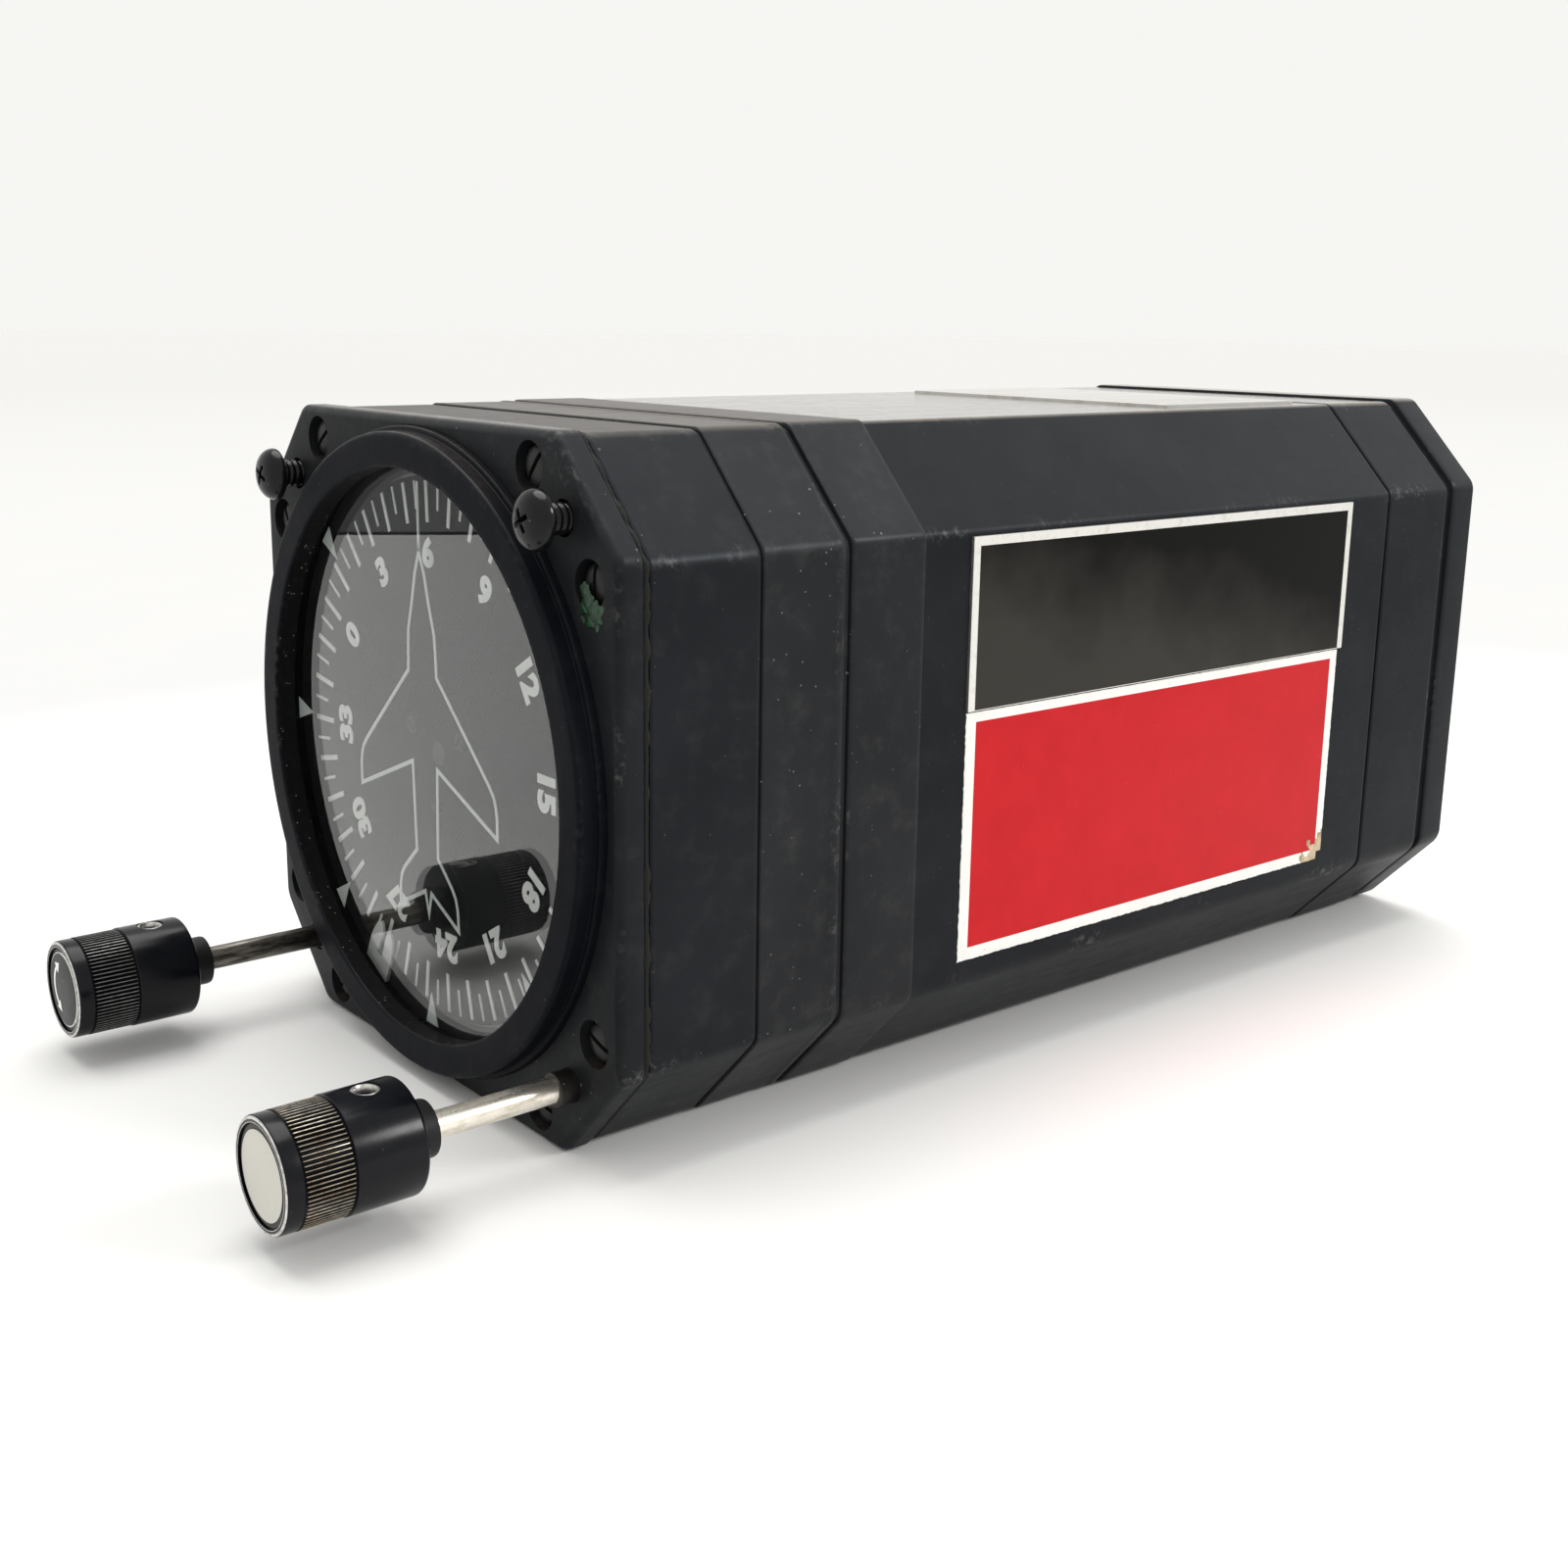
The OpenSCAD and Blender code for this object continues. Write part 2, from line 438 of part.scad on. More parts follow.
module bug_knob_disc() color([0.88, 0.86, 0.78]) cyl(-bug_knob_front + 0.1, -bug_knob_front + 0.44, bug_knob_r - 1.02, corner_xy, -corner_xy);
module set_screw(back, r, px) translate([px, -back - 4, -corner_xy]) difference() {
    translate([0, 0, 1.8]) cylinder(h = r - 2.3, r = 1.2, $fn = 48);
    translate([0, 0, r - 1.3]) cylinder(h = 2, r = 0.6, $fn = 6);
}
module bug_knob_set_screw() color(STEEL) set_screw(bug_knob_front - 15.6, bug_knob_r, corner_xy);
// ---------- set shaft ----------
module set_shaft() color(STEEL) {
    cyl(-set_knob_front + 3, 4.2, 1.5, -corner_xy, -corner_xy);
    cyl(4.1, 20.4, 1.2, -corner_xy, -corner_xy);
}
module set_pinion() color(BRASS) translate([-corner_xy, 0, -corner_xy]) difference() {
    union() {
        along(5.5, 7.5) polygon(gear_pts(n_setpin, m5, PH_SETPIN));
        cyl(4.25, 5.6, 1.9);
    }
    cyl(3, 9, 1.2);
}
module set_knob() color(BLACK) knob(set_knob_front, set_knob_r, set_knob_front - 2, set_knob_front - 7.6, set_knob_front - 15.5, set_knob_front - 18.6, 1.5, -corner_xy);
module set_knob_disc() color([0.55, 0.55, 0.55]) cyl(-set_knob_front + 0.1, -set_knob_front + 0.44, set_knob_r - 1.02, -corner_xy, -corner_xy);
module set_knob_set_screw() color(STEEL) set_screw(set_knob_front - 15.5, set_knob_r, -corner_xy);
module set_spring_washer() color(STEEL) tube(7.55, 8, 1.95, 1.24, -corner_xy, -corner_xy);
// Coil spring: rings of points swept along a helix with closed, flat end turns
SP_N = 90;
SP_R = 1.75;
SP_W = 0.2;
function sp_at(f) = let (a = f * 360 * 6, y = 8.22 + (17.76 - 8.22) * min(1, max(0, (f - 0.1) / 0.8))) [SP_R * cos(a), y, SP_R * sin(a)];
module set_return_spring() color(STEEL) translate([-corner_xy, 0, -corner_xy]) polyhedron(
    points = [for (i = [0:SP_N]) let (f = i / SP_N, c = sp_at(f), a = f * 360 * 6)
        for (k = [0:5]) c + SP_W * [cos(k * 60) * cos(a), sin(k * 60), cos(k * 60) * sin(a)]],
    faces = concat([[5, 4, 3, 2, 1, 0]], [[for (k = [0:5]) SP_N * 6 + k]],
        [for (i = [0:SP_N - 1], k = [0:5]) let (k2 = (k + 1) % 6) each [
            [i * 6 + k, i * 6 + k2, (i + 1) * 6 + k2], [i * 6 + k, (i + 1) * 6 + k2, (i + 1) * 6 + k]]]));
module set_idler_gear() color(BRASS) rotate([0, 135, 0]) translate([set_idler_d, 0, 0]) difference() {
    union() {
        along(10.2, 11.8) polygon(gear_pts(n_setidler, m5, PH_SETIDLER + 135));
        cyl(9.7, 12.4, 2.6);
    }
    cyl(9, 13, 1.25);
    for (a = [0:72:288]) rotate([0, a, 0]) cyl(9, 13, 1.9, 5.4, 0);
}
// ---------- lay shaft ----------
module lay_shaft() color(STEEL) { cyl(9.65, 76.4, 1.25, 0, lay_z); cyl(7.8, 9.7, 1, 0, lay_z); }
module lay_front_gear() color(BRASS) translate([0, 0, lay_z]) difference() {
    union() { along(10.2, 11.8) polygon(gear_pts(n_lay, m5, PH_LAY)); cyl(11.7, 15, 3); }
    cyl(9, 16, 1.25);
}
module lay_rear_pinion() color(BRASS) translate([0, 0, lay_z]) difference() {
    union() { along(gimbal_y - crown_r - 1, gimbal_y - crown_r + 1) polygon(gear_pts(n_lay, m3, 90 + 180 / n_lay)); cyl(gimbal_y - crown_r - 2, gimbal_y - crown_r - 0.9, 2.6); }
    cyl(60, 80, 1.25);
}
// ---------- gyro ----------
module about(y, z) translate([0, y, z]) children();
module outer_gimbal() color(ALLOY * 0.9) about(gimbal_y, 0) difference() {
    union() {
        translate([0, 0, tilt_z]) difference() {
            union() {
                cyl(-4, 4, ring_out);
                rotate([0, 90, 0]) translate([0, 0, -ring_out - 0.5]) cylinder(h = 2 * ring_out + 1, r = 4.6, $fn = 96);
            }
            cyl(-6, 6, ring_in);
        }
        translate([0, 0, tilt_z + ring_out - 1]) cylinder(h = arm_top - 0.4 - (tilt_z + ring_out - 1), r = 4.5, $fn = 96);
        translate([0, 0, tilt_z + ring_out - 1]) cylinder(h = arm_top + 2.8 - (tilt_z + ring_out - 1), r = 2, $fn = 96);
        translate([0, 0, crown_z + 2.1]) cylinder(h = tilt_z - ring_out + 1 - (crown_z + 2.1), r = 4.5, $fn = 96);
        translate([0, 0, arm_bot - 2.3]) cylinder(h = 20, r = 2, $fn = 96);
    }
    translate([-30, 0, tilt_z]) rotate([0, 90, 0]) cylinder(h = 60, r = 3, $fn = 96);
    translate([-3, -3, tilt_z - ring_in - 0.9]) cube([6, 6, 4]);
}
module azimuth_gear() color(BRASS) about(gimbal_y, 0) difference() {
    union() {
        translate([0, 0, crown_z + 0.42]) cylinder(h = 1.6, r = crown_r + 1, $fn = 128);
        translate([0, 0, crown_z - 0.24]) linear_extrude(0.68) difference() {
            polygon([for (i = [0:n_crown - 1]) let (c = -90 + i * 360 / n_crown, w = 0.215) each [
                for (e = [[crown_r - 1, -w], [crown_r + 1, -w], [crown_r + 1, w], [crown_r - 1, w]])
                    [e[0] * cos(c) - e[1] * sin(c), e[0] * sin(c) + e[1] * cos(c)]]]);
            circle(r = crown_r - 1.9, $fn = 96);
        }
    }
    translate([0, 0, -40]) cylinder(h = 30, r = 2.01, $fn = 96);
    for (a = [0:72:288]) rotate(a) translate([9, 0, -40]) cylinder(h = 30, r = 3, $fn = 48);
}
module tilt_bearings() color(STEEL) about(gimbal_y, tilt_z) for (s = [-1, 1]) translate([s * 24.3, 0, 0]) rotate([0, 90, 0]) difference() {
    cylinder(h = 3, r = 2.98, center = true, $fn = 96);
    cylinder(h = 5, r = 1.54, center = true, $fn = 96);
}
module rotor_housing() color(ALLOY * 0.8) about(gimbal_y, tilt_z) difference() {
    union() {
        turned([[0, -house_l], [house_r - 2, -house_l], [house_r, -house_l + 2], [house_r, house_l - 2.5], [house_r - 1.5, house_l - 2.5],
            [house_r - 1.5, -house_l + 2.6], [house_r - 2.6, -house_l + 1.5], [0, -house_l + 1.5]]);
        cyl(-house_l, -house_l + 3.2, 4.4);
        for (s = [-1, 1]) rotate([0, s * 90, 0]) {
            translate([0, 0, house_r - 1.2]) cylinder(h = 5, r = 2.8, $fn = 96);
            translate([0, 0, house_r - 1.2]) cylinder(h = 9.4, r = 1.5, $fn = 96);
        }
    }
    cyl(-house_l - 1, 0, 1.8);
    cyl(-house_l + 1.1, 0, 3);
    for (a = [90, 270]) rotate([0, a, 0]) cyl(-4, 4, 2.2, house_r, 0);
}
module rotor_housing_cover() color(ALLOY * 0.8) about(gimbal_y, tilt_z) difference() {
    union() {
        turned([[0, house_l - 1.5], [house_r - 2.6, house_l - 1.5], [house_r - 1.6, house_l - 4.2], [house_r - 1.52, house_l - 2.48],
            [house_r, house_l - 2.48], [house_r - 2, house_l], [0, house_l]]);
        cyl(house_l - 3.2, house_l - 1, 4.4);
    }
    cyl(0, house_l + 1, 1.8);
    cyl(0, house_l - 1.1, 3);
    for (a = [30:60:330]) rotate([0, a, 0]) cyl(0, house_l + 1, 2, 10, 0);
}
module rotor_bearings() color(STEEL) about(gimbal_y, tilt_z) for (s = [-1, 1])
    tube(s * (house_l - 2.15) - 1, s * (house_l - 2.15) + 1, 2.98, 1.54);
module rotor() color(BRASS * 0.9) about(gimbal_y, tilt_z) difference() {
    turned([[1.5, -4], [4, -4], [4, -2], [9.5, -2], [9.5, -rotor_w / 2], [rotor_r, -rotor_w / 2], [rotor_r, rotor_w / 2],
        [9.5, rotor_w / 2], [9.5, 2], [4, 2], [4, 4], [1.5, 4]]);
    for (a = [0:20:340]) rotate([0, a, 0]) cyl(-2, 2, 1.3, rotor_r + 0.2, 0);
}
module rotor_shaft() color(STEEL) about(gimbal_y, tilt_z) cyl(-house_l + 0.6, house_l - 0.6, 1.5);

mounting_flange();
bezel_ring();
cover_glass();
glass_gasket();
glass_markings();
flange_screws();
panel_screws();
sealant_bead();
front_body();
front_case_gasket();
centre_body();
rear_housing();
rear_cap_gasket();
rear_cap();
case_bolts();
caution_placard();
notice_decal();
top_data_plate();
air_inlet_port();
inlet_screen();
vacuum_port();
shaft_bushings();
dial_plate();
movement_screws();
movement_pillars();
rear_movement_plate();
gimbal_frame();
frame_screws();
azimuth_bearings();
dial_card();
card_markings();
card_shaft();
card_gear();
bug_ring();
bug_idler_gear();
bug_shaft();
bug_pinion();
bug_retaining_collar();
bug_knob();
bug_knob_disc();
bug_knob_set_screw();
set_shaft();
set_pinion();
set_knob();
set_knob_disc();
set_knob_set_screw();
set_spring_washer();
set_return_spring();
set_idler_gear();
lay_shaft();
lay_front_gear();
lay_rear_pinion();
outer_gimbal();
azimuth_gear();
tilt_bearings();
rotor_housing();
rotor_housing_cover();
rotor_bearings();
rotor();
rotor_shaft();
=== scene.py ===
import math
import random

import bpy
import bmesh
from mathutils import Vector, Matrix

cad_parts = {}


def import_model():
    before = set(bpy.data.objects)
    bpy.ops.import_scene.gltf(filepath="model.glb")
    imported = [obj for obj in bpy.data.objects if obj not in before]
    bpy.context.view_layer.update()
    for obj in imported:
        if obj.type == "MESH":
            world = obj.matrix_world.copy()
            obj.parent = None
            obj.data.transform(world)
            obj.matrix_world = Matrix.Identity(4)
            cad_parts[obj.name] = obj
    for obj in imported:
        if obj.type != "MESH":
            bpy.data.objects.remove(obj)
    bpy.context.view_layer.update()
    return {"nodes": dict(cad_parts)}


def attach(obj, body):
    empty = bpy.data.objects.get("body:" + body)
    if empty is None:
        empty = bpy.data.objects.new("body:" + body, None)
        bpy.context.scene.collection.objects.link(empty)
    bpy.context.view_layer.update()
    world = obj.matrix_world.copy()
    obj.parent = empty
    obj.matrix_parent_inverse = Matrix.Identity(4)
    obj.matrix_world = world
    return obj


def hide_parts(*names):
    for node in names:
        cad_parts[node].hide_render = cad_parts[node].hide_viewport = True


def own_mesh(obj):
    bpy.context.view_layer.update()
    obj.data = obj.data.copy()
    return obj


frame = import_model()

rnd = random.Random(7)
MM = 0.001
HW, HH = 41.3, 40.3          # half width and half height of the case
LX, LZ = 11.6, 12.3          # legs of the cut corners
CR = 31.43                   # corner shafts and screws
CASE = "case"

# ---------------------------------------------------------------- camera
R = Matrix(((0.625444677, 0.780178962, 0.011821276),
            (0.182194584, -0.131294626, -0.97445721),
            (-0.758698945, 0.611622848, -0.224261906)))
cam_data = bpy.data.cameras.new("camera")
cam = bpy.data.objects.new("camera", cam_data)
bpy.context.scene.collection.objects.link(cam)
right, down, fwd = R[0], R[1], R[2]
m = Matrix((right, -down, -fwd)).transposed().to_4x4()
m.translation = Vector((0.191738634, -0.103092331, 0.052315886))
cam.matrix_world = m
cam_data.sensor_width = 36.0
cam_data.lens = 36.0 * 1871.937 / 1600.0
cam_data.shift_x = (800 - 773.022) / 1600.0
cam_data.shift_y = (749.971 - 800) / 1600.0
cam_data.clip_start = 0.01
cam_data.clip_end = 20
bpy.context.scene.view_settings.view_transform = "Standard"
bpy.context.scene.camera = cam


# ---------------------------------------------------------------- materials
class Mat:
    """Small helper that builds one node material."""

    def __init__(self, name):
        self.m = bpy.data.materials.new(name)
        self.m.use_nodes = True
        self.t = self.m.node_tree
        self.t.nodes.clear()
        self.out = self.t.nodes.new("ShaderNodeOutputMaterial")
        self.b = self.t.nodes.new("ShaderNodeBsdfPrincipled")
        self.t.links.new(self.b.outputs[0], self.out.inputs[0])
        self._co = None

    def co(self):
        if self._co is None:
            self._co = self.t.nodes.new("ShaderNodeTexCoord").outputs["Object"]
        return self._co

    def link(self, a, b):
        self.t.links.new(a, b)

    def put(self, sock, v):
        if hasattr(v, "is_output") or isinstance(v, bpy.types.NodeSocket):
            self.t.links.new(v, sock)
        else:
            sock.default_value = v

    def scaled(self, s):
        n = self.t.nodes.new("ShaderNodeMapping")
        n.inputs["Scale"].default_value = s
        self.link(self.co(), n.inputs["Vector"])
        return n.outputs[0]

    def noise(self, scale, detail=3.0, rough=0.55, dist=0.0, vec=None, w=0.0):
        n = self.t.nodes.new("ShaderNodeTexNoise")
        n.inputs["Scale"].default_value = scale
        n.inputs["Detail"].default_value = detail
        n.inputs["Roughness"].default_value = rough
        n.inputs["Distortion"].default_value = dist
        self.link(vec if vec is not None else self.co(), n.inputs["Vector"])
        return n.outputs["Fac"]

    def voronoi(self, scale, out="Distance", feature="F1", vec=None):
        n = self.t.nodes.new("ShaderNodeTexVoronoi")
        n.feature = feature
        n.inputs["Scale"].default_value = scale
        self.link(vec if vec is not None else self.co(), n.inputs["Vector"])
        return n.outputs[out]

    def ramp(self, fac, stops):
        n = self.t.nodes.new("ShaderNodeValToRGB")
        e = n.color_ramp.elements
        while len(e) < len(stops):
            e.new(0.5)
        for k, (p, c) in enumerate(stops):
            e[k].position = p
            e[k].color = (c, c, c, 1) if isinstance(c, (int, float)) else (*c, 1)
        self.link(fac, n.inputs["Fac"])
        return n.outputs["Color"]

    def math(self, op, a, b=None, clamp=False):
        n = self.t.nodes.new("ShaderNodeMath")
        n.operation = op
        n.use_clamp = clamp
        self.put(n.inputs[0], a)
        if b is not None:
            self.put(n.inputs[1], b)
        return n.outputs[0]

    def mix(self, fac, a, b, mode="MIX"):
        n = self.t.nodes.new("ShaderNodeMix")
        n.data_type = "RGBA"
        n.blend_type = mode
        n.clamp_result = False
        self.put(n.inputs[0], fac)
        for s, v in ((n.inputs[6], a), (n.inputs[7], b)):
            if isinstance(v, (tuple, list)):
                v = (*v, 1) if len(v) == 3 else v
            self.put(s, v)
        return n.outputs[2]

    def attr(self, name):
        n = self.t.nodes.new("ShaderNodeAttribute")
        n.attribute_name = name
        return n.outputs["Fac"]

    def pos(self, axis):
        n = self.t.nodes.new("ShaderNodeSeparateXYZ")
        self.link(self.co(), n.inputs[0])
        return n.outputs[axis]

    def normal(self, axis):
        g = self.t.nodes.new("ShaderNodeTexCoord")
        n = self.t.nodes.new("ShaderNodeSeparateXYZ")
        self.link(g.outputs["Normal"], n.inputs[0])
        return n.outputs[axis]

    def bump(self, height, dist, strength=1.0, prev=None):
        n = self.t.nodes.new("ShaderNodeBump")
        n.inputs["Strength"].default_value = strength
        n.inputs["Distance"].default_value = dist
        self.link(height, n.inputs["Height"])
        if prev is not None:
            self.link(prev, n.inputs["Normal"])
        return n.outputs[0]

    def set(self, **kw):
        names = dict(color="Base Color", rough="Roughness", metal="Metallic", normal="Normal", ior="IOR",
                     spec="Specular IOR Level", coat="Coat Weight", coat_rough="Coat Roughness",
                     trans="Transmission Weight", sheen="Sheen Weight", aniso="Anisotropic", alpha="Alpha",
                     coat_ior="Coat IOR", tint="Specular Tint")
        for k, v in kw.items():
            s = self.b.inputs[names[k]]
            if isinstance(v, (tuple, list)) and len(v) == 3:
                v = (*v, 1)
            self.put(s, v)
        return self.m


def specks(M, scale, size, share):
    """Mask of sparse round specks."""
    n = M.t.nodes.new("ShaderNodeTexVoronoi")
    n.feature = "F1"
    n.inputs["Scale"].default_value = scale
    n.inputs["Randomness"].default_value = 1.0
    M.link(M.co(), n.inputs["Vector"])
    d = M.math("LESS_THAN", n.outputs["Distance"], size)
    s = M.t.nodes.new("ShaderNodeSeparateColor")
    M.link(n.outputs["Color"], s.inputs[0])
    pick = M.math("LESS_THAN", s.outputs[0], share)
    return M.math("MULTIPLY", d, pick)


def paint(name, base=(0.017, 0.018, 0.020), rough=0.36, grain=2600, grain_d=0.000012, dust=0.25, tan=0.3, mottled=0.06, spec=0.2, top_gloss=0.2, top_dust_sheen_col=(0.16, 0.125, 0.095), tan_rough=0.25, worn=0.45, top_spec=0.0):
    M = Mat(name)
    big = M.noise(60, 4, 0.6)
    mid = M.noise(420, 4, 0.6)
    fine = M.noise(grain, 3, 0.6)
    scr = M.noise(900, 3, 0.7, 0.6, vec=M.scaled((1, 0.06, 1)))
    spot = M.ramp(M.noise(75, 3, 0.5), [(0.50, 0.0), (0.66, 1.0)])
    wear = M.math("MULTIPLY", M.attr("wear"), M.ramp(M.noise(1100, 4, 0.65), [(0.50, 0.0), (0.70, 1.0)]))
    wear = M.math("MULTIPLY", wear, spot)
    col = M.mix(M.ramp(big, [(0.35, 0.0), (0.7, 1.0)]), base, tuple(c * 1.35 + 0.001 for c in base))
    # painted sheen: faces that look up get a lighter tan tint (tan, top_dust_sheen_col), partly real dust and partly a
    # painted sheen standing in for the grazing reflection on the tops
    up = M.ramp(M.normal(2), [(0.75, 0.0), (0.97, 1.0)])
    top_dust_and_sheen = M.math("MULTIPLY", M.math("MULTIPLY", up, tan), M.ramp(M.noise(150, 5, 0.7), [(0.3, 0.35), (0.7, 1.0)]))
    col = M.mix(top_dust_and_sheen, col, top_dust_sheen_col)
    overlay_mask = M.math("MULTIPLY", M.ramp(M.noise(240, 5, 0.72), [(0.52, 0.0), (0.8, 1.0)]), dust * 0.35)
    col = M.mix(overlay_mask, col, (0.13, 0.12, 0.105))
    sp = M.math("MAXIMUM", specks(M, 420, 0.07, 0.20), specks(M, 900, 0.10, 0.10))
    col = M.mix(M.math("MULTIPLY", sp, dust), col, (0.33, 0.31, 0.28))
    col = M.mix(M.math("MULTIPLY", wear, worn), col, (0.22, 0.215, 0.205))
    r = M.math("ADD", M.math("MULTIPLY", mid, mottled * 2), rough - mottled)
    r = M.math("ADD", r, M.math("MULTIPLY", M.ramp(scr, [(0.45, 0.0), (0.65, 1.0)]), 0.05))
    r = M.math("ADD", r, M.math("MULTIPLY", top_dust_and_sheen, tan_rough))
    r = M.math("SUBTRACT", r, M.math("MULTIPLY", up, top_gloss), clamp=True)
    r = M.math("SUBTRACT", r, M.math("MULTIPLY", wear, 0.14), clamp=True)
    nrm = M.bump(fine, grain_d, 0.8)
    nrm = M.bump(mid, 0.00002, 0.35, nrm)
    # grime keeps the faces that look down duller
    under = M.ramp(M.normal(2), [(0.0, 0.45), (0.35, 1.0)])
    return M.set(color=col, rough=r, normal=nrm, spec=M.math("ADD", M.math("MULTIPLY", under, spec), M.math("MULTIPLY", up, top_spec)), tint=(0.84, 0.92, 1.0))


def simple(name, color, rough=0.4, metal=0.0, var=0.25, grain=1500, bump=0.000008, rvar=0.12, dust=0.0, coat=0.0, stretch=None, spec=0.5):
    M = Mat(name)
    v = M.scaled(stretch) if stretch else None
    a = M.noise(grain * 0.15, 4, 0.6, vec=v)
    b = M.noise(grain, 3, 0.6, vec=v)
    col = M.mix(M.ramp(a, [(0.35, 0.0), (0.7, 1.0)]), tuple(c * (1 - var) for c in color), tuple(min(1, c * (1 + var)) for c in color))
    if dust:
        sp = specks(M, 700, 0.09, 0.25)
        col = M.mix(M.math("MULTIPLY", sp, dust), col, (0.45, 0.43, 0.4))
    r = M.math("ADD", M.math("MULTIPLY", M.math("SUBTRACT", a, 0.5), rvar * 2), rough, clamp=True)
    return M.set(color=col, rough=r, metal=metal, normal=M.bump(b, bump, 0.8), coat=coat, spec=spec)


def metal_worn(name, color, dark, rough=0.3, spots=900, share=0.5, stretch=None):
    M = Mat(name)
    v = M.scaled(stretch) if stretch else None
    n1 = M.noise(spots, 5, 0.7, vec=v)
    n2 = M.noise(spots * 3.1, 3, 0.6)
    f = M.ramp(n1, [(share - 0.12, 0.0), (share + 0.16, 1.0)])
    col = M.mix(f, dark, color)
    r = M.math("ADD", M.math("MULTIPLY", n2, 0.22), M.math("SUBTRACT", rough + 0.06, M.math("MULTIPLY", f, 0.1)), clamp=True)
    return M.set(color=col, rough=r, metal=1.0, normal=M.bump(n1, 0.000012, 0.7))


MT = {}
MT["paint_front"] = paint("paint_front", base=(0.0080, 0.0088, 0.0106), rough=0.40, grain=3000, dust=0.22, tan=0.35, spec=0.20, top_gloss=0.06)
MT["paint_centre"] = paint("paint_centre", base=(0.0125, 0.0130, 0.0142), rough=0.40, grain=1500, grain_d=0.00003, dust=0.36, tan=0.45, spec=0.22, top_gloss=0.12)
# the bright top tint of paint_rear is partly dust and partly painted sheen on the top faces
MT["paint_rear"] = paint("paint_rear", base=(0.0098, 0.0106, 0.0122), rough=0.37, grain=3200, dust=0.08, tan=0.46, spec=0.135, top_gloss=0.30, top_dust_sheen_col=(0.27, 0.215, 0.16), tan_rough=0.08, top_spec=0.36)
MT["paint_flange"] = paint("paint_flange", base=(0.0090, 0.0096, 0.0108), rough=0.42, grain=2400, grain_d=0.00002, dust=0.26, tan=0.2, spec=0.19)
MT["paint_bezel"] = paint("paint_bezel", base=(0.0038, 0.0042, 0.0060), rough=0.42, grain=2800, grain_d=0.000016, dust=0.10, tan=0.1, spec=0.09, worn=0.2)
MT["rubber"] = simple("rubber", (0.006, 0.006, 0.006), 0.7, grain=900, bump=0.00002)
MT["sealant"] = simple("sealant", (0.007, 0.0068, 0.0066), 0.6, grain=1600, bump=0.00006, dust=0.30, rvar=0.2, spec=0.2)
MT["screw_dark"] = simple("screw_dark", (0.018, 0.018, 0.018), 0.40, metal=0.4, grain=1500, bump=0.00001, dust=0.2, spec=0.3)
MT["screw_black"] = simple("screw_black", (0.0050, 0.0052, 0.0060), 0.17, grain=900, bump=0.000004, rvar=0.06, dust=0.12, spec=0.22)
MT["white_print"] = simple("white_print", (0.92, 0.93, 0.90), 0.6, var=0.04, grain=1200, bump=0.000004)
MT["marks_print"] = simple("marks_print", (0.74, 0.78, 0.74), 0.5, var=0.05, grain=1200, bump=0.000004)
MT["dial"] = simple("dial", (0.0095, 0.0100, 0.0105), 0.75, var=0.12, grain=1400, bump=0.000002, dust=0.06, spec=0.12)
MT["dial_screw"] = simple("dial_screw", (0.036, 0.035, 0.033), 0.5, metal=0.3, grain=1800, spec=0.3)
MT["brass"] = metal_worn("brass", (0.66, 0.50, 0.23), (0.30, 0.21, 0.09), 0.28, 500, 0.45)
MT["steel"] = metal_worn("steel", (0.52, 0.51, 0.49), (0.24, 0.23, 0.21), 0.25, 700, 0.42)
MT["alloy"] = metal_worn("alloy", (0.62, 0.63, 0.64), (0.38, 0.38, 0.38), 0.38, 300, 0.4)
MT["shaft_r"] = metal_worn("shaft_r", (0.88, 0.83, 0.74), (0.50, 0.44, 0.34), 0.22, 1300, 0.40, (1, 0.25, 1))
MT["shaft_l"] = metal_worn("shaft_l", (0.26, 0.24, 0.21), (0.05, 0.045, 0.038), 0.22, 1400, 0.52, (1, 0.15, 1))
MT["bushing"] = simple("bushing", (0.030, 0.027, 0.024), 0.42, metal=0.7, grain=1800, bump=0.00003, var=0.5, dust=0.3)
MT["knob"] = simple("knob", (0.0018, 0.0022, 0.0040), 0.22, grain=2600, bump=0.000005, rvar=0.08, dust=0.04, spec=0.20)
MT["disc_dark"] = simple("disc_dark", (0.0060, 0.0062, 0.0075), 0.40, grain=1700, bump=0.000012, var=0.35, dust=0.25, spec=0.25)
MT["collar"] = simple("collar", (0.006, 0.006, 0.0066), 0.5, grain=1900, bump=0.00002, spec=0.25)
MT["cream"] = simple("cream", (0.60, 0.585, 0.52), 0.42, var=0.05, grain=500, bump=0.000006)
MT["disc_edge"] = simple("disc_edge", (0.05, 0.047, 0.042), 0.6, grain=1500, bump=0.00003, var=0.5)
MT["rim"] = metal_worn("rim", (0.70, 0.69, 0.66), (0.28, 0.27, 0.25), 0.25, 1500, 0.40)
MT["placard_pale"] = metal_worn("placard_pale", (0.78, 0.77, 0.73), (0.60, 0.58, 0.52), 0.34, 700, 0.34)
MT["data_plate"] = metal_worn("data_plate", (0.62, 0.61, 0.58), (0.44, 0.42, 0.39), 0.30, 260, 0.34, (1, 0.2, 1))


